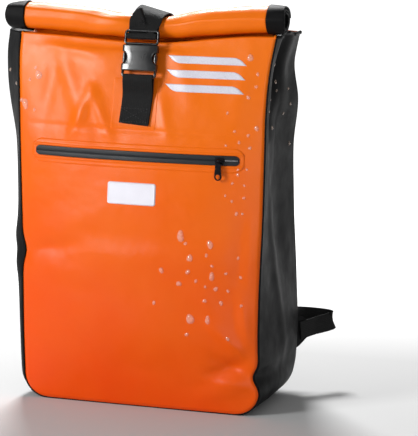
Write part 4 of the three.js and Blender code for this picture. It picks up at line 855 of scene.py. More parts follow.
# Bonded polyester thread: 0.5 mm thick, drawn at 0.7 mm so that it shows; black, with a faint shine where it is tight.
thread, tree, shader, where = finish("bonded_thread_black", IOR=1.5, Roughness=0.5)
twist = add(tree, "TexNoise", {"Vector": where.outputs["Object"], "Scale": 900.0}).outputs["Fac"]
tint = add(tree, "Mix", {0: twist, 6: linear("08080A"), 7: linear("202023")}, data_type="RGBA")
tree.links.new(tint.outputs[2], shader.inputs["Base Color"])


def stitches(name, *runs):
    """Rows of stitches: beads at equal steps along each run, which is a line with its own outward directions."""
    made = []
    for line, normal in runs:
        both = spaced(np.concatenate([line, normal], 1), STITCH_PITCH)
        made += copies(bead(STITCH_LONG, THREAD, THREAD), both[:, :3], *directions(both[:, :3], unit(both[:, 3:])))
    piece(name, *made, material=thread, slot="webbing_black")


print("coil turns:", len(teeth_at))

# %% Patch under the strap's foot
PATCH_ACROSS, PATCH_LEVEL, PATCH_HALF, PATCH_TALL, PATCH_THICK = -0.0135, 0.3965, 0.0305, 0.0325, 0.0005
strap_patch = patch(PATCH_ACROSS, PATCH_LEVEL, PATCH_HALF, PATCH_TALL, 0.003, thin(PATCH_THICK), bevel=0.001)
piece("strap_patch", surface(strap_patch), material=orange, slot="tarpaulin_orange", wall=PATCH_THICK)
print("patch", 2 * PATCH_HALF, "m wide")

# %% [markdown]
# ## The buckle's place
# The buckle lies on the front's slope under the roll. Its own frame has x across, y out from the bag and z up along
# the strap, and every part of the buckle and both ends of the strap are set out in it.

# %% Buckle frame
BUCKLE_ACROSS, BUCKLE_LEVEL, BUCKLE_LENGTH, BUCKLE_HALF = -0.0075, 0.465, 0.063, 0.0255
BAR, FRAME_DEEP, TAIL_SLOT, PLUG_SLOT, SOCKET_SLOT = 0.0032, 0.005, 0.0036, 0.0066, 0.0062
BUCKLE_TOP = BUCKLE_LENGTH / 2
MIDDLE_BAR = BUCKLE_TOP - 1.5 * BAR - TAIL_SLOT
PLUG_FOOT = MIDDLE_BAR - 1.5 * BAR - PLUG_SLOT
SOCKET_FOOT = -BUCKLE_TOP + BAR + SOCKET_SLOT


def buckle_place():
    """Centre, across, out and up: up runs from the front's face to the roll's, and out is square to it."""
    foot = on_front(BUCKLE_ACROSS, BUCKLE_LEVEL - BUCKLE_TOP, fine=False)[0]
    head = on_front(BUCKLE_ACROSS, BUCKLE_LEVEL + BUCKLE_TOP - TUCK_RISE, fine=False)[0]
    head[1] = min(head[1], roll_points(BUCKLE_ACROSS, np.pi, False)[1] + 0.002 + SHIFT[1])
    up = unit(head - foot)
    out = unit(np.array([0, -1, 0]) + up * up[1])
    return (foot + head) / 2 + out * 0.0115, np.cross(up, out), out, up


CENTRE, ACROSS, OUT, UP = buckle_place()


def in_buckle(x, y, z):
    """Points given in the buckle's own frame."""
    x, y, z = np.broadcast_arrays(x, y, z)
    return CENTRE + x[..., None] * ACROSS + y[..., None] * OUT + z[..., None] * UP


def bar_loop(path, half_bar, half_deep, closed=True, power=2.6):
    """A moulded bar along a flat path in the buckle's frame, with a rounded section."""
    line = in_buckle(path[:, 0], 0.0, path[:, 1])
    side = np.cross(heading(line, closed), OUT)
    return surface(sweep(line, unit(side), OUT, half_bar, half_deep, power, 20), ring=True, loop=closed)


print("buckle centre", np.round(CENTRE, 4).tolist())

# %% [markdown]
# ## Acetal, moulded in a polished tool
# A side-release buckle is moulded in acetal. It looks near black, with a waxy gloss: broad pale highlights across its
# crowned faces, sharper ones along its rounded edges. The socket is a hollow housing whose waist leaves a window on
# each side, and in each window lies a sprung arm of the plug.

# %% Buckle
acetal, tree, shader, where = finish("moulded_acetal_black", IOR=1.48, Coat_Weight=0.5, Coat_Roughness=0.1)
wax = add(tree, "TexNoise", {"Vector": where.outputs["Object"], "Scale": 55.0, "Detail": 3.0}).outputs["Fac"]
tint = add(tree, "Mix", {0: wax, 6: linear("08090A"), 7: linear("101114")}, data_type="RGBA")
tree.links.new(tint.outputs[2], shader.inputs["Base Color"])
shine = add(tree, "MapRange", {"Value": wax, 3: 0.24, 4: 0.36})
tree.links.new(shine.outputs[0], shader.inputs["Roughness"])
skin = add(tree, "TexNoise", {"Vector": where.outputs["Object"], "Scale": 700.0, "Detail": 2.0}).outputs["Fac"]
bumps(tree, shader, (skin, 0.00003))

WAIST_LEVEL, WAIST_HALF, WAIST_DEEP = -0.0054, 0.0078, 0.0056
HOUSING_HALF, HOUSING_DEEP = 0.0240, 0.0060


def waist(z):
    """How far a half ellipse bites into the housing's side."""
    return WAIST_DEEP * np.sqrt(np.clip(1 - ((z - WAIST_LEVEL) / WAIST_HALF) ** 2, 0, 1))


def housing_grid():
    """Rings up the housing: a rounded box whose face is crowned across and whose two ends are rounded over."""
    low, top, edge = SOCKET_FOOT, PLUG_FOOT - GAP, 0.0014
    turn = np.linspace(0, np.pi / 2, 6)
    body = np.concatenate([np.linspace(low + edge, WAIST_LEVEL - WAIST_HALF, 8)[1:-1],
                           WAIST_LEVEL - WAIST_HALF * np.cos(np.linspace(0, np.pi, 41)),
                           np.linspace(WAIST_LEVEL + WAIST_HALF, top - edge, 10)[1:-1]])
    z = np.concatenate([low + edge * (1 - np.cos(turn)), body, top - edge * (1 - np.cos(turn[::-1]))])
    d = np.minimum(z - low, top - z)
    drawn = edge - np.sqrt(np.maximum(0, edge**2 - np.maximum(0, edge - d) ** 2))
    flare = 0.0006 * eased(np.abs(z - WAIST_LEVEL) / 0.016)
    half = HOUSING_HALF - 0.0008 + flare - waist(z) - drawn
    line = in_buckle(0 * z, 0 * z, z)
    rings = sweep(line, ACROSS, OUT, half, 1.0, 9.0, 72) - line[:, None]
    across = rings @ ACROSS
    deep = (HOUSING_DEEP - drawn)[:, None] * (1 - 0.26 * (across / HOUSING_HALF) ** 2)
    return line[:, None] + across[..., None] * ACROSS + ((rings @ OUT) * deep)[..., None] * OUT


def arm_grid(side):
    """The sprung arm in a window: a half moon between the waist and the housing's own outline."""
    z = WAIST_LEVEL + (WAIST_HALF - 0.0009) * np.sin(np.linspace(-1, 1, 29) * np.pi / 2)
    inner = HOUSING_HALF - 0.0002 - waist(z)
    outer = HOUSING_HALF - 0.0004 - 0.0012 * ((z - WAIST_LEVEL) / WAIST_HALF) ** 2
    half = np.maximum((outer - inner) / 2 - 0.0003, 0.0002)
    line = in_buckle(side * (inner + outer) / 2, 0 * z, z)
    return sweep(line, ACROSS, OUT, half, 0.0036, 3.0, 24)


rail = BUCKLE_HALF * 0.9 - 0.0010
socket_path = filleted([(-rail, -0.0190), (-rail, -BUCKLE_TOP + BAR / 2), (rail, -BUCKLE_TOP + BAR / 2),
                        (rail, -0.0190)], 0.004, closed=False)
socket = piece("socket_housing", surface(housing_grid(), ring=True),
               bar_loop(socket_path, 0.0016, FRAME_DEEP / 2, closed=False),
               material=acetal, slot="buckle_plastic")
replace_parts(socket, "buckle_socket")

low, high = PLUG_FOOT + BAR / 2, BUCKLE_TOP - BAR / 2
plug_path = filleted([(-rail, low), (rail, low), (rail, high), (-rail, high)], 0.0035)
middle_path = np.column_stack([np.linspace(-rail, rail, 30), np.full(30, MIDDLE_BAR)])
plug = piece("plug_frame", bar_loop(plug_path, 0.0016, FRAME_DEEP / 2),
             bar_loop(middle_path, BAR / 2, FRAME_DEEP / 2 - 0.0002, closed=False),
             surface(arm_grid(-1), ring=True), surface(arm_grid(1), ring=True),
             material=acetal, slot="buckle_plastic")
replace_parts(plug, "buckle_plug")
print("buckle", 2 * HOUSING_HALF, "m wide")

# %% [markdown]
# ## Webbing
# Polyester webbing is woven in ribs that run along it. Light rakes across the ribs, so it looks darker and rougher
# than the plastic beside it, with a soft sheen. A strap here is a line of points with a direction across it, made
# fine by a spline and swept with a flat section that has rounded edges.

# %% Webbing finish
# Ribs of real webbing are about 1.2 mm apart; they are drawn at 2.4 mm so that they show in the render.
webbing, tree, shader, where = finish("woven_polyester_black", IOR=1.5, Specular_IOR_Level=0.25, Sheen_Weight=0.04,
                                      Sheen_Roughness=0.5)
flat_uv = where.outputs["UV"]
rib, pick = bands(tree, flat_uv, "X", 0.0024), bands(tree, flat_uv, "Y", 0.0018)
weave = add(tree, "Math", {0: rib, 1: pick}, operation="MULTIPLY").outputs[0]
fuzz = add(tree, "TexNoise", {"Vector": where.outputs["Object"], "Scale": 260.0, "Detail": 3.0}).outputs["Fac"]
shade = add(tree, "Math", {0: weave, 1: fuzz}, operation="MULTIPLY").outputs[0]
tint = add(tree, "Mix", {0: shade, 6: linear("030303"), 7: linear("18181A")}, data_type="RGBA")
tree.links.new(tint.outputs[2], shader.inputs["Base Color"])
rough = add(tree, "MapRange", {"Value": fuzz, 3: 0.62, 4: 0.85})
tree.links.new(rough.outputs[0], shader.inputs["Roughness"])
bumps(tree, shader, (weave, 0.00022), (fuzz, 0.00006))
print("webbing ready")

# %% Straps and the closing strap
WEB, STRAP_WIDTH = 0.0016, 0.040
FOOT_ACROSS, FOOT_LEVEL, STRAP_BACK, DRIFT = -0.012, 0.3705, 0.453, 0.006


def ribbon(line, across, width, deep=WEB, per=10, power=7.0):
    """Webbing along a splined line: across is its width direction at each given point, eased between them."""
    fine, at = rope(line, per)
    across = np.broadcast_to(across, (len(line), 3))
    side = np.stack([np.interp(at, np.arange(len(line)), across[:, k]) for k in range(3)], -1)
    wide = np.interp(at, np.arange(len(line)), np.broadcast_to(width, len(line)))
    along = heading(fine)
    side = unit(side - along * np.sum(side * along, axis=1, keepdims=True))
    return surface(sweep(fine, side, np.cross(along, side), wide / 2, deep / 2, power, 44), ring=True)


def round_bar(half_bar, half_deep, turn):
    """A line once round a bar, from its face over its upper side (turn 1) or lower side: rise and distance out."""
    off = GAP + WEB / 2
    quarter = np.array([(0, half_deep + off), (half_bar * 0.9, half_deep + off),
                        (half_bar + off * 0.8, half_deep + off * 0.65), (half_bar + off, half_deep - off * 0.4)])
    return np.concatenate([quarter, quarter[::-1] * [1, -1]]) * [turn, 1]


def lower_strap():
    """From the foot up to the socket's bar, round it and back down against the front."""
    bar = in_buckle(0.0, 0.0, -BUCKLE_TOP + BAR / 2)
    local = bar - SHIFT

    def on(share, lift):
        return on_front(mix(FOOT_ACROSS, local[0], share), mix(FOOT_LEVEL, local[2], share), lift, fine=False)[0]

    inner = 2 * GAP + WEB / 2
    outer = inner + WEB + GAP
    turned = round_bar(BAR / 2, FRAME_DEEP / 2, 1)
    bend = bar + turned[:, :1] * UP + turned[:, 1:] * OUT
    line = np.stack([on(0, outer), on(0.3, outer + 0.0003), on(0.62, outer + 0.0022),
                     bar - UP * (BAR + 0.001) + OUT * (FRAME_DEEP / 2 + GAP + WEB / 2), *bend,
                     on(0.66, inner + 0.0008), on(0.3, inner), on(0.02, inner)])
    corners = on_front(FOOT_ACROSS + np.array([-0.5, 0.5]) * STRAP_WIDTH, FOOT_LEVEL, 0.0, False)[0]
    level = unit(corners[1] - corners[0])
    sewn = np.array([1, 0.8, 0.4, 0, *[0] * len(bend), 0.4, 0.8, 1])[:, None]
    return line, unit(ACROSS * (1 - sewn) + level * sewn)


lower_line, lower_across = lower_strap()
strap = piece("closing_strap_lower", ribbon(lower_line, lower_across, STRAP_WIDTH),
              material=webbing, slot="webbing_black")
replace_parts(strap, "strap_lower")

BOX_HALF, BOX_LOW, BOX_HIGH = 0.017, 0.003, 0.020


def on_strap(start, end):
    """A straight run on the lower strap's outer face, between two places across from its middle and up its foot."""
    x, rise = np.linspace(start, end, 40).T
    return on_front(FOOT_ACROSS + x, FOOT_LEVEL + rise, 4 * GAP + 2 * WEB + 0.00015, fine=False)


corners = [(-BOX_HALF, BOX_LOW), (BOX_HALF, BOX_LOW), (-BOX_HALF, BOX_HIGH), (BOX_HALF, BOX_HIGH)]
sides_and_cross = [(0, 1), (2, 3), (0, 2), (1, 3), (0, 3), (2, 1)]
stitches("strap_foot_stitches", *[on_strap(corners[a], corners[b]) for a, b in sides_and_cross])


# The tilt is greatest between the line's points 8 and 9, and fades over about 2 points.
STRAP_TILT, TILT_AT, TILT_SPREAD = math.radians(15), 8.5, 2.2


def upper_strap():
    """From the back over the roll, round the plug's middle bar, and up behind itself as a short tail. It lies askew on
    the roll: its width is tilted there by an angle that fades along a bell curve."""
    off, behind = GAP + WEB / 2, -FRAME_DEEP / 2 - GAP - WEB / 2
    x = BUCKLE_ACROSS + DRIFT

    def over(angle, lift, aside=0.0):
        p = placed(*roll_points(x, angle, False))
        return p + [aside, math.cos(angle) * lift, math.sin(angle) * lift]

    def slope(share, lift):
        y, z = slope_point(share)
        return placed(x, y + lift * 0.35, z + lift)

    def behind_back(z):
        return np.array([x, back_face(x, z) + WALL + 3 * GAP + WEB / 2, z]) + SHIFT

    down = round_bar(BAR / 2, FRAME_DEEP / 2, 1)[::-1][2:]
    round_up = round_bar(BAR / 2, FRAME_DEEP / 2, -1)[1:]
    round_up[:, 1] -= np.where(round_up[:, 1] < 0, WEB + GAP, 0)
    line = [behind_back(STRAP_BACK), behind_back(mix(STRAP_BACK, HEIGHT, 0.6)), slope(0.0, 0.0026), slope(0.16, 0.0034),
            slope(0.45, 0.004), slope(0.72, 0.005), over(0.35, 0.007), over(0.8, 0.0095), over(1.2, 0.0105),
            over(1.65, 0.0095), over(2.15, 0.0085, -0.3 * DRIFT), over(2.7, 0.0065, -0.6 * DRIFT),
            in_buckle(0.15 * DRIFT, behind + 0.0024, BUCKLE_TOP + 0.009), in_buckle(0.0, behind, BUCKLE_TOP + 0.002),
            in_buckle(0.0, behind + 0.0002, BUCKLE_TOP - BAR - 0.0002),
            *[in_buckle(0.0, proud, MIDDLE_BAR + rise) for rise, proud in np.concatenate([down, round_up])],
            *[in_buckle(0.0, behind - WEB - GAP, BUCKLE_TOP + rise) for rise in (-BAR, 0.005)]]
    k = np.arange(len(line))
    tilt = STRAP_TILT * np.exp(-(((k - TILT_AT) / TILT_SPREAD) ** 2))
    x_way, y_way, z_way = np.where(k[:, None] < 7, [[1.0, 0, 0]], ACROSS).T
    turned = [x_way * np.cos(tilt) + z_way * np.sin(tilt), y_way, z_way * np.cos(tilt) - x_way * np.sin(tilt)]
    return np.stack(line), np.stack(turned, -1)


strap = piece("closing_strap_upper", ribbon(*upper_strap(), STRAP_WIDTH), material=webbing, slot="webbing_black")
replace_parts(strap, "strap_upper")
print("closing strap done")

# %% Haul loop
def haul_line():
    """An arch of doubled webbing with a flat foot each end, tilted to the slope of the back."""
    low, high = 0.463 - 0.0125, 0.463 + 0.0125
    upright = unit(np.array([0, float(back_edge(high) - back_edge(low)), 0.025]))
    lying = float(back_face(0.048, 0.463)) + WALL + 2 * GAP + 0.0012
    a = np.linspace(0, np.pi, 11)
    arch = np.column_stack([-0.048 * np.cos(a), lying + 0.034 * np.sin(a) ** 0.8, 0.463 + 0.008 * np.sin(a)])
    return np.concatenate([[[-0.068, lying, 0.463]], arch, [[0.068, lying, 0.463]]]) + SHIFT, upright


haul = piece("haul_loop_webbing", ribbon(*haul_line(), 0.025, deep=0.0024), material=webbing, slot="webbing_black")
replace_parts(haul, "haul_loop")

# %% [markdown]
# ## Shoulder straps
# Each strap is a foam pad in cloth, bound along its edges, that starts flat on the back and curves out and down to a
# ladder lock. A cloth simulation with air pressure inside swells the pad. A webbing runs down its middle.

# %% Strap lines
SHOULDER_WIDTH, SHOULDER_DEEP, SHOULDER_TOP, SHOULDER_ACROSS = 0.062, 0.012, 0.446, 0.046
SHOULDER_LINE = np.array([(1, 0, 0), (1.02, 0.05, 0.015), (1.05, 0.1, 0.09), (1.12, 0.17, 0.24), (1.25, 0.27, 0.36),
                          (1.42, 0.38, 0.41), (1.6, 0.49, 0.39), (1.76, 0.58, 0.33), (1.9, 0.65, 0.27)])
WEB_WIDTH, LOCK_HEIGHT, LOCK_BAR, LOCK_SIDE, LOCK_DEEP, LOCK_DROP = 0.025, 0.028, 0.003, 0.004, 0.004, 0.010


def shoulder_line(side):
    """Centre line of the pad: shares of a height, a width and the bag's depth, splined and spaced evenly."""
    out, down, away = SHOULDER_LINE.T
    z, x = SHOULDER_TOP * (1 - down), SHOULDER_ACROSS * out
    lying = back_face(x - SHOULDER_WIDTH / 2, z) + SHOULDER_DEEP / 2 - GAP
    line = rope(np.column_stack([side * x, lying + away * DEPTH, z]), 40)[0] + SHIFT
    return spaced(line, 0.0035)


def across_strap(along, side):
    """Level direction across the strap, leaning a little, square to its run."""
    level = np.array([side, 0.12, 0.0])
    return unit(level - along * np.sum(level * along, axis=-1, keepdims=True))


def strap_end(side):
    """End of the pad, and the directions along, across and away from the bag there."""
    line = shoulder_line(side)
    along = unit(line[-1] - line[-7])
    across = across_strap(along, side)
    return line[-1], along, across, unit(np.cross(across, along)) * side


print("pad length", round(float(along_grid(shoulder_line(1)[None], 1)[0, -1]), 3), "m")

# %% Padding cloth
# Woven nylon, plain weave of 1.1 mm yarns drawn at 1.6 mm: matt, dark grey, with tiny sparkles along the yarns.
padding, tree, shader, where = finish("woven_nylon_black", IOR=1.5, Specular_IOR_Level=0.25, Sheen_Weight=0.05,
                                      Sheen_Roughness=0.4)
place = where.outputs["Object"]
warp, weft = bands(tree, place, "X", 0.0016), bands(tree, place, "Z", 0.0016)
weave = add(tree, "Math", {0: warp, 1: weft}, operation="MULTIPLY").outputs[0]
cloud = add(tree, "TexNoise", {"Vector": place, "Scale": 45.0, "Detail": 4.0}).outputs["Fac"]
shade = add(tree, "Math", {0: weave, 1: cloud}, operation="MULTIPLY").outputs[0]
tint = add(tree, "Mix", {0: shade, 6: linear("080809"), 7: linear("262629")}, data_type="RGBA")
tree.links.new(tint.outputs[2], shader.inputs["Base Color"])
rough = add(tree, "MapRange", {"Value": cloud, 3: 0.62, 4: 0.82})
tree.links.new(rough.outputs[0], shader.inputs["Roughness"])
bumps(tree, shader, (weave, 0.0002), (cloud, 0.001))
HEM_REACH = 0.009  # how much wider the hem is than the pad


def pad_grid(side):
    """Rings along the pad, thin at its edges and ends; its width narrows to the ladder lock's at the lower end."""
    line = shoulder_line(side)
    t = np.linspace(0, 1, len(line))
    wide = mix(SHOULDER_WIDTH, WEB_WIDTH + 2 * LOCK_SIDE, eased((t - 13 / 16) * 16 / 3)) - HEM_REACH
    end = eased(np.minimum(t, 1 - t) * 16 / 1.5 + 0.25)
    along = heading(line)
    side_way = across_strap(along, side)
    rings = sweep(line, side_way, np.cross(along, side_way), wide / 2, mix(0.0016, 0.0049, end), 2.6, 36)
    return line, wide, rings, side_way


def swell(made, voxel=0.0045, pressure=4.0, cap=0.005, frames=20):
    """Blow a pad up: remesh it evenly, let cloth with air pressure swell it, and cap how far a point may go."""
    bpy.context.view_layer.objects.active = made
    remesh = made.modifiers.new("even", "REMESH")
    remesh.mode, remesh.voxel_size = "VOXEL", voxel
    with bpy.context.temp_override(object=made):
        bpy.ops.object.modifier_apply(modifier=remesh.name)
    count = len(made.data.vertices)
    before, after = np.empty(count * 3), np.empty(count * 3)
    made.data.vertices.foreach_get("co", before)
    cloth = made.modifiers.new("air", "CLOTH")
    cloth.settings.use_pressure, cloth.settings.uniform_pressure_force = True, pressure
    cloth.settings.effector_weights.gravity = 0
    for step in range(1, frames + 1):
        bpy.context.scene.frame_set(step)
    shown = made.evaluated_get(bpy.context.evaluated_depsgraph_get()).data
    shown.vertices.foreach_get("co", after)
    made.modifiers.remove(cloth)
    bpy.context.scene.frame_set(1)
    move = (after - before).reshape(-1, 3)
    far = np.linalg.norm(move, axis=1, keepdims=True)
    move *= np.minimum(1, cap / np.maximum(far, 1e-9))
    made.data.vertices.foreach_set("co", (before.reshape(-1, 3) + move).ravel())
    made.data.update()
    made.data.polygons.foreach_set("use_smooth", np.ones(len(made.data.polygons), bool))
    soft = made.modifiers.new("soft", "SUBSURF")
    soft.levels = soft.render_levels = 1
    return float(far.max())


# %% Make the shoulder straps
# The hem's seam runs in from its edge, on both faces, and the webbing's two seams run beside its middle.
HEM_SEAM, HEM_FACE, RUNNER_SEAM, RUNNER_LIFT = 0.0022, 0.0012, 0.0095, 0.0062
for side, word in ((-1, "left"), (1, "right")):
    line, wide, rings, side_way = pad_grid(side)
    pad = piece(f"strap_pad_{word}", surface(rings, ring=True), material=padding, slot="strap_padding")
    grown = swell(pad)
    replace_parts(pad, f"shoulder_strap_{word}")
    up_way = np.cross(heading(line), side_way)
    hem = sweep(line, side_way, up_way, (wide + HEM_REACH) / 2, 0.0011, 7.0, 40)
    piece(f"strap_hem_{word}", surface(hem, ring=True), material=padding, slot="strap_padding")
    away = up_way * np.sign(up_way[len(line) // 2] @ np.array([0, 1, 0]))
    sewn = line[3:-2] + away[3:-2] * RUNNER_LIFT
    run = sweep(sewn, side_way[3:-2], away[3:-2], WEB_WIDTH / 2 - GAP, WEB / 2, 7.0, 36)
    piece(f"strap_runner_{word}", surface(run, ring=True), material=webbing, slot="webbing_black")
    inset = ((wide + HEM_REACH) / 2 - HEM_SEAM)[2:-2, None]
    edges = [line[2:-2] + side_way[2:-2] * inset * k for k in (-1, 1)]
    rows = [(edge + away[2:-2] * (HEM_FACE * k), away[2:-2] * k) for edge in edges for k in (-1, 1)]
    face = away[3:-2] * (WEB / 2 + 0.0001)
    seams = [(sewn + side_way[3:-2] * (RUNNER_SEAM * k) + face, away[3:-2]) for k in (-1, 1)]
    stitches(f"strap_stitches_{word}", *rows, *seams)
    print("pad", word, "moved at most", round(grown * 1000, 1), "mm")

# %% Ladder locks, their loops and the lower webs
def lock_frame(side):
    end, along, across, away = strap_end(side)
    return end + along * (LOCK_DROP + LOCK_HEIGHT / 2), along, across, away


def ladder(side):
    """Two slots between three bars: a rounded loop, and a bar across its middle."""
    centre, along, across, away = lock_frame(side)
    half = WEB_WIDTH / 2 + GAP + LOCK_SIDE / 2
    tall = LOCK_HEIGHT / 2 - LOCK_BAR / 2

    def tube(path, closed, half_bar):
        line = centre + path[:, :1] * across + path[:, 1:] * along
        return surface(sweep(line, unit(np.cross(heading(line, closed), away)), away, half_bar, LOCK_DEEP / 2, 2.8, 18),
                       ring=True, loop=closed)

    loop = filleted([(-half, -tall), (half, -tall), (half, tall), (-half, tall)], 0.004)
    return tube(loop, True, LOCK_BAR / 2), tube(np.array([(-half, 0.0), (0.0, 0.0), (half, 0.0)]), False, LOCK_BAR / 2)


def end_loop(side):
    """A short web from the pad's end, round the lock's upper bar and back."""
    centre, along, across, away = lock_frame(side)
    bar = centre - along * (LOCK_HEIGHT / 2 - LOCK_BAR / 2)
    leg = LOCK_DROP + LOCK_BAR / 2 - GAP
    steps = np.concatenate([[(-leg, 0.0012), (-leg / 2, 0.0026)], round_bar(LOCK_BAR / 2, LOCK_DEEP / 2, 1),
                            [(-leg / 2, -0.0026), (-leg, -0.0012)]])
    return bar + steps[:, :1] * along + steps[:, 1:] * away, across


WING_HEIGHT, WING_LEVEL, WING_REACH = 0.046, 0.082, 0.030


def wing_point(side, t, v):
    """The anchor wing from the back seam, t 0, out and back to its tip; v runs up it."""
    x = side * (half_width("back", side, WING_LEVEL) - 2 * WALL)
    y = back_face(x, WING_LEVEL) + WALL / 2 + 2 * GAP
    half = mix(WING_HEIGHT, WEB_WIDTH, eased(t)) / 2
    reach = WING_REACH * t
    x, y, z = np.broadcast_arrays(x + side * reach * 0.5, y + reach * 0.86, WING_LEVEL + v * half + 0.003 * t * t)
    return np.stack([x, y, z], -1) + SHIFT


def lower_web(side):
    """Along the wing, out and back in a loose turn, up through the ladder lock and down as a short tail."""
    centre, along, across, away = lock_frame(side)
    off = LOCK_DEEP / 2 + GAP + WEB / 2
    root, tip = wing_point(side, 0.3, 0.0), wing_point(side, 1.0, 0.0)
    outwards = unit(tip - root)
    skin = unit(np.array([side * outwards[1], -side * outwards[0], 0])) * (GAP + WEB / 2)
    turn = tip + [side * 0.022, 0.032, 0.006]

    def at(down, proud):
        return centre + along * down + away * proud

    turned = round_bar(LOCK_BAR / 2, LOCK_DEEP / 2, -1)[::-1]
    line = [root + skin, mix(tip, root, 0.3) + skin, tip + skin + outwards * 0.006, turn,
            mix(at(0.034, -off - 0.008), turn, 0.45), at(0.030, -off - 0.003), at(LOCK_HEIGHT / 2, -off),
            *[at(down, proud) for down, proud in turned],
            at(LOCK_HEIGHT / 2, off + 0.0004), at(LOCK_HEIGHT / 2 + 0.016, off + 0.003),
            at(LOCK_HEIGHT / 2 + 0.034, off + 0.004), at(LOCK_HEIGHT / 2 + 0.056, off + 0.002)]
    t = eased((np.arange(len(line)) - 2) / 3)[:, None]
    return np.stack(line), unit(np.array([0, 0, 1.0]) * (1 - t) - across * side * t)


for side, word in ((-1, "left"), (1, "right")):
    made = piece(f"ladder_loop_{word}", *ladder(side), material=acetal, slot="buckle_plastic")
    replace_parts(made, f"ladder_lock_{word}")
    made = piece(f"lock_web_{word}", ribbon(*end_loop(side), WEB_WIDTH - 2 * GAP), material=webbing,
                 slot="webbing_black")
    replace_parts(made, f"end_loop_{word}")
    made = piece(f"adjuster_web_{word}", ribbon(*lower_web(side), WEB_WIDTH - 2 * GAP), material=webbing,
                 slot="webbing_black")
    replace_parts(made, f"lower_web_{word}")
    t, v = np.linspace(0, 1, 30)[:, None], np.linspace(-1, 1, 30)[None, :]
    grid = wing_point(side, t, v * (1 - 0.12 * t * t))
    made = piece(f"wing_tarpaulin_{word}", surface(grid, flip=side < 0), material=black, slot="tarpaulin_black",
                 wall=WALL)
    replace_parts(made, f"anchor_wing_{word}")
print("locks, webs and wings done")

# %% [markdown]
# ## Zip slider and puller
# Both are die-cast zinc with a black finish that wears bright on its edges. Their engineering shapes are right, so
# each is a copy of its node: the loose triangles are merged, and a bevel rounds the edges to catch the light.

# %% Slider and puller
zinc, tree, shader, where = finish("blackened_zinc", Metallic=1.0)
wear = add(tree, "TexNoise", {"Vector": where.outputs["Object"], "Scale": 300.0, "Detail": 4.0}).outputs["Fac"]
tint = add(tree, "Mix", {0: wear, 6: linear("0E0E10"), 7: linear("2E2E33")}, data_type="RGBA")
tree.links.new(tint.outputs[2], shader.inputs["Base Color"])
shine = add(tree, "MapRange", {"Value": wear, 3: 0.22, 4: 0.42})
tree.links.new(shine.outputs[0], shader.inputs["Roughness"])
bumps(tree, shader, (wear, 0.00005))


def bevelled(name, node, body, width):
    """Merged copy of a CAD node with its flat faces joined up again and its edges rounded."""
    build = bmesh.new()
    build.from_mesh(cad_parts[node].data)
    bmesh.ops.remove_doubles(build, verts=build.verts, dist=1e-6)
    bmesh.ops.dissolve_limit(build, angle_limit=0.02, verts=build.verts, edges=build.edges)
    mesh = bpy.data.meshes.new(name)
    build.to_mesh(mesh)
    build.free()
    mesh.materials.clear()
    mesh.materials.append(zinc)
    made = bpy.data.objects.new(name, mesh)
    bpy.context.scene.collection.objects.link(made)
    edge = made.modifiers.new("edge", "BEVEL")
    edge.width, edge.segments, edge.limit_method, edge.angle_limit = width, 2, "ANGLE", 0.7
    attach(made, body)
    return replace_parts(made, node)


bevelled("slider_casting", "zip_slider", "bag", 0.0003)
bevelled("puller_casting", "zip_puller", "puller", 0.0003)
print("slider and puller done")

# %% [markdown]
# ## Rain on the tarpaulin
# Water doesn't wet PVC, so it stands in domes that act as small lenses: each has a bright point where the light comes
# in and a bright rim opposite. A dome is a half ellipsoid, a little uneven, and the big ones are drawn out downwards.

# %% Drops
# For each grid: share across, share up, radius in mm. The radii are about 1.3 times the measured ones, so that a drop
# still shows at the size of the photograph. From a radius of 3.6 mm a drop is drawn out downwards.
RUNNING = 3.6
DROPS = [(front_points, -1, [
    (0.128, 0.860, 2.38), (0.144, 0.842, 4.76), (0.094, 0.829, 2.21), (0.022, 0.775, 2.72), (0.061, 0.766, 4.93),
    (0.122, 0.752, 2.04), (0.850, 0.910, 3.74), (0.906, 0.869, 2.21), (0.906, 0.838, 2.21), (0.867, 0.811, 2.55),
    (0.778, 0.770, 1.87), (0.811, 0.725, 1.87), (0.928, 0.734, 3.06), (0.878, 0.716, 2.21), (0.778, 0.689, 1.70),
    (0.833, 0.698, 2.04), (0.889, 0.685, 2.21), (0.811, 0.667, 1.87), (0.833, 0.631, 2.55), (0.878, 0.631, 1.70),
    (0.833, 0.617, 2.04), (0.811, 0.595, 1.87), (0.867, 0.590, 1.70), (0.783, 0.563, 1.70), (0.867, 0.559, 2.04),
    (0.811, 0.550, 1.87), (0.833, 0.518, 2.38), (0.861, 0.518, 1.70), (0.633, 0.455, 5.10), (0.650, 0.437, 2.38),
    (0.733, 0.437, 4.08), (0.722, 0.410, 2.21), (0.667, 0.401, 3.74), (0.578, 0.365, 3.40), (0.661, 0.365, 3.06),
    (0.744, 0.383, 2.04), (0.744, 0.356, 3.74), (0.800, 0.365, 2.04), (0.867, 0.356, 2.21), (0.689, 0.342, 2.21),
    (0.633, 0.333, 3.40), (0.722, 0.329, 1.87), (0.761, 0.324, 3.06), (0.811, 0.320, 2.21), (0.556, 0.279, 2.38),
    (0.722, 0.293, 2.72), (0.783, 0.288, 2.89), (0.878, 0.284, 2.04), (0.672, 0.243, 5.10), (0.733, 0.243, 3.74),
    (0.661, 0.203, 2.55), (0.817, 0.198, 2.55), (0.850, 0.405, 2.04)]),
    (left_side, 1, [(0.214, 0.855, 2.38), (0.054, 0.823, 2.38)]),
    (right_side, -1, [
        (0.214, 0.900, 3.23), (0.411, 0.877, 1.87), (0.446, 0.850, 2.21), (0.446, 0.827, 1.87), (0.179, 0.809, 2.04),
        (0.089, 0.782, 2.04), (0.732, 0.827, 2.21), (0.768, 0.786, 2.04), (0.643, 0.764, 1.87), (0.393, 0.732, 2.72),
        (0.893, 0.677, 2.55)])]


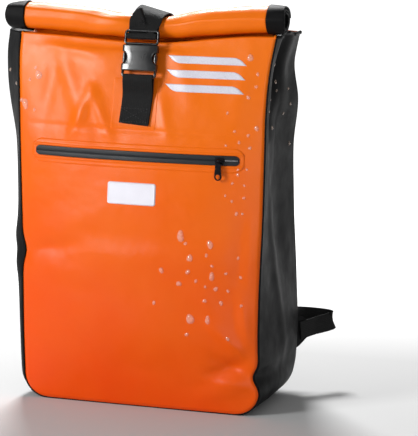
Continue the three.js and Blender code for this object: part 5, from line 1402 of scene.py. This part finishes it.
def domes(grid, turn, rows):
    """Half ellipsoids on a grid: rings from 0.3 mm under the surface to the top, uneven by a few sine waves."""
    across, up, size = np.array(rows).T
    i = np.clip(np.round(up * (grid.shape[0] - 1)).astype(int), 1, grid.shape[0] - 2)
    j = np.clip(np.round(across * (grid.shape[1] - 1)).astype(int), 1, grid.shape[1] - 2)
    rise = unit(grid[i + 1, j] - grid[i - 1, j])
    normal = unit(np.cross(rise, grid[i, j + 1] - grid[i, j - 1])) * turn
    side_way = np.cross(rise, normal)
    r = (size / 1000)[:, None, None]
    lift = np.linspace(0, 0.47 * np.pi, 7)[None, :, None]
    phi = np.linspace(0, 2 * np.pi, 16, endpoint=False)[None, None]
    seed = (np.arange(len(rows)) * 2.4)[:, None, None]
    reach = r * np.cos(lift) * (1 + 0.13 * np.sin(2 * phi + seed) + 0.07 * np.sin(3 * phi - 2 * seed))
    tall = np.where(size > RUNNING, 1.45, 1.1)[:, None, None]
    high = np.broadcast_to((r * 0.62 + 0.0003) * np.sin(lift) - 0.0003, reach.shape)
    local = np.stack([reach * np.cos(phi), reach * np.sin(phi) * tall, high], -1)
    return grid[i, j][:, None, None] + np.einsum("nrcm,nmk->nrck", local, np.stack([side_way, rise, normal], 1))


# Clear water, drawn as a thin see-through skin: the light that real water gathers is a pale tint here, and its gloss is
# set high because the skin mirrors only as much as it covers.
water, tree, shader, where = finish("clear_water", IOR=1.333, Roughness=0.03, Specular_IOR_Level=1.0, Coat_Weight=1.0,
                                    Coat_Roughness=0.02, Alpha=0.32)
quiver = add(tree, "TexNoise", {"Vector": where.outputs["Object"], "Scale": 250.0}).outputs["Fac"]
tint = add(tree, "Mix", {0: quiver, 6: linear("F0B488"), 7: linear("FFF6EE")}, data_type="RGBA")
tree.links.new(tint.outputs[2], shader.inputs["Base Color"])
bumps(tree, shader, (quiver, 0.00012))
beads_of_rain = [surface(dome, ring=True) for grid, turn, rows in DROPS for dome in domes(grid, turn, rows)]
piece("rain_drops", *beads_of_rain, material=water)
print("drops:", len(beads_of_rain))

# %% [markdown]
# ## Floor and light
# The photograph has a white ground with a soft shadow to the right and a dark one at the front edge. So the main light
# is a large softbox at the front left, a weak one fills from the right, and one overhead stands a little behind the
# bag: it lights the roll and throws the dark shadow forwards.

# %% Floor, lights and world
ground, tree, shader, where = finish("white_ground", Roughness=0.9)
shade = add(tree, "TexNoise", {"Vector": where.outputs["Object"], "Scale": 1.5}).outputs["Fac"]
tint = add(tree, "Mix", {0: shade, 6: linear("BEBEBE"), 7: linear("C2C2C2")}, data_type="RGBA")
tree.links.new(tint.outputs[2], shader.inputs["Base Color"])
# A lit backdrop: the ground starts to glow 0.3 m behind the bag, and doesn't round it, so the shadows stay.
far = add(tree, "SeparateXYZ", {"Vector": where.outputs["Object"]}).outputs["Y"]
glow = add(tree, "MapRange", {"Value": far, 1: 0.3, 2: 1.5, 3: 0.0, 4: 1.0}).outputs[0]
shader.inputs["Emission Color"].default_value = (1, 1, 1, 1)
tree.links.new(glow, shader.inputs["Emission Strength"])
half = 30.0
mesh = bpy.data.meshes.new("floor")
mesh.from_pydata([(-half, -half, 0), (half, -half, 0), (half, half, 0), (-half, half, 0)], [], [(0, 1, 2, 3)])
mesh.materials.append(ground)
floor = bpy.data.objects.new("floor", mesh)
bpy.context.scene.collection.objects.link(floor)

AIM = np.array([0.0, 0.0, 0.27])


def softbox(name, at, size, power, colour=(1.0, 1.0, 1.0)):
    """Square area light that looks at the bag: its own -Z runs from where it is to the aim."""
    lamp = bpy.data.objects.new(name, bpy.data.lights.new(name, "AREA"))
    lamp.data.size, lamp.data.energy, lamp.data.color = size, power, colour
    back_way = unit(np.asarray(at, float) - AIM)
    side_way = unit(np.cross([0, 0, 1.0], back_way))
    pose = np.eye(4)
    pose[:3, :] = np.column_stack([side_way, np.cross(back_way, side_way), back_way, at])
    lamp.matrix_world = Matrix(pose.tolist())
    bpy.context.scene.collection.objects.link(lamp)


softbox("key", (-1.45, -2.1, 1.0), 0.7, 53)
softbox("fill", (1.2, -2.6, 0.4), 1.2, 14)
softbox("overhead", (-0.5, 1.05, 1.8), 0.5, 62)
world = bpy.data.worlds.new("studio")
world.use_nodes = True
tree = world.node_tree
ray = add(tree, "SeparateXYZ", {"Vector": add(tree, "TexCoord").outputs["Generated"]}).outputs["Z"]
sky = add(tree, "MapRange", {"Value": ray, 1: 0.05, 2: 0.8, 3: 0.14, 4: 0.36}).outputs[0]
tree.links.new(sky, tree.nodes["Background"].inputs["Strength"])
tree.nodes["Background"].inputs["Color"].default_value = (1, 1, 1, 1)
bpy.context.scene.world = world
bpy.context.scene.view_settings.view_transform = "Standard"
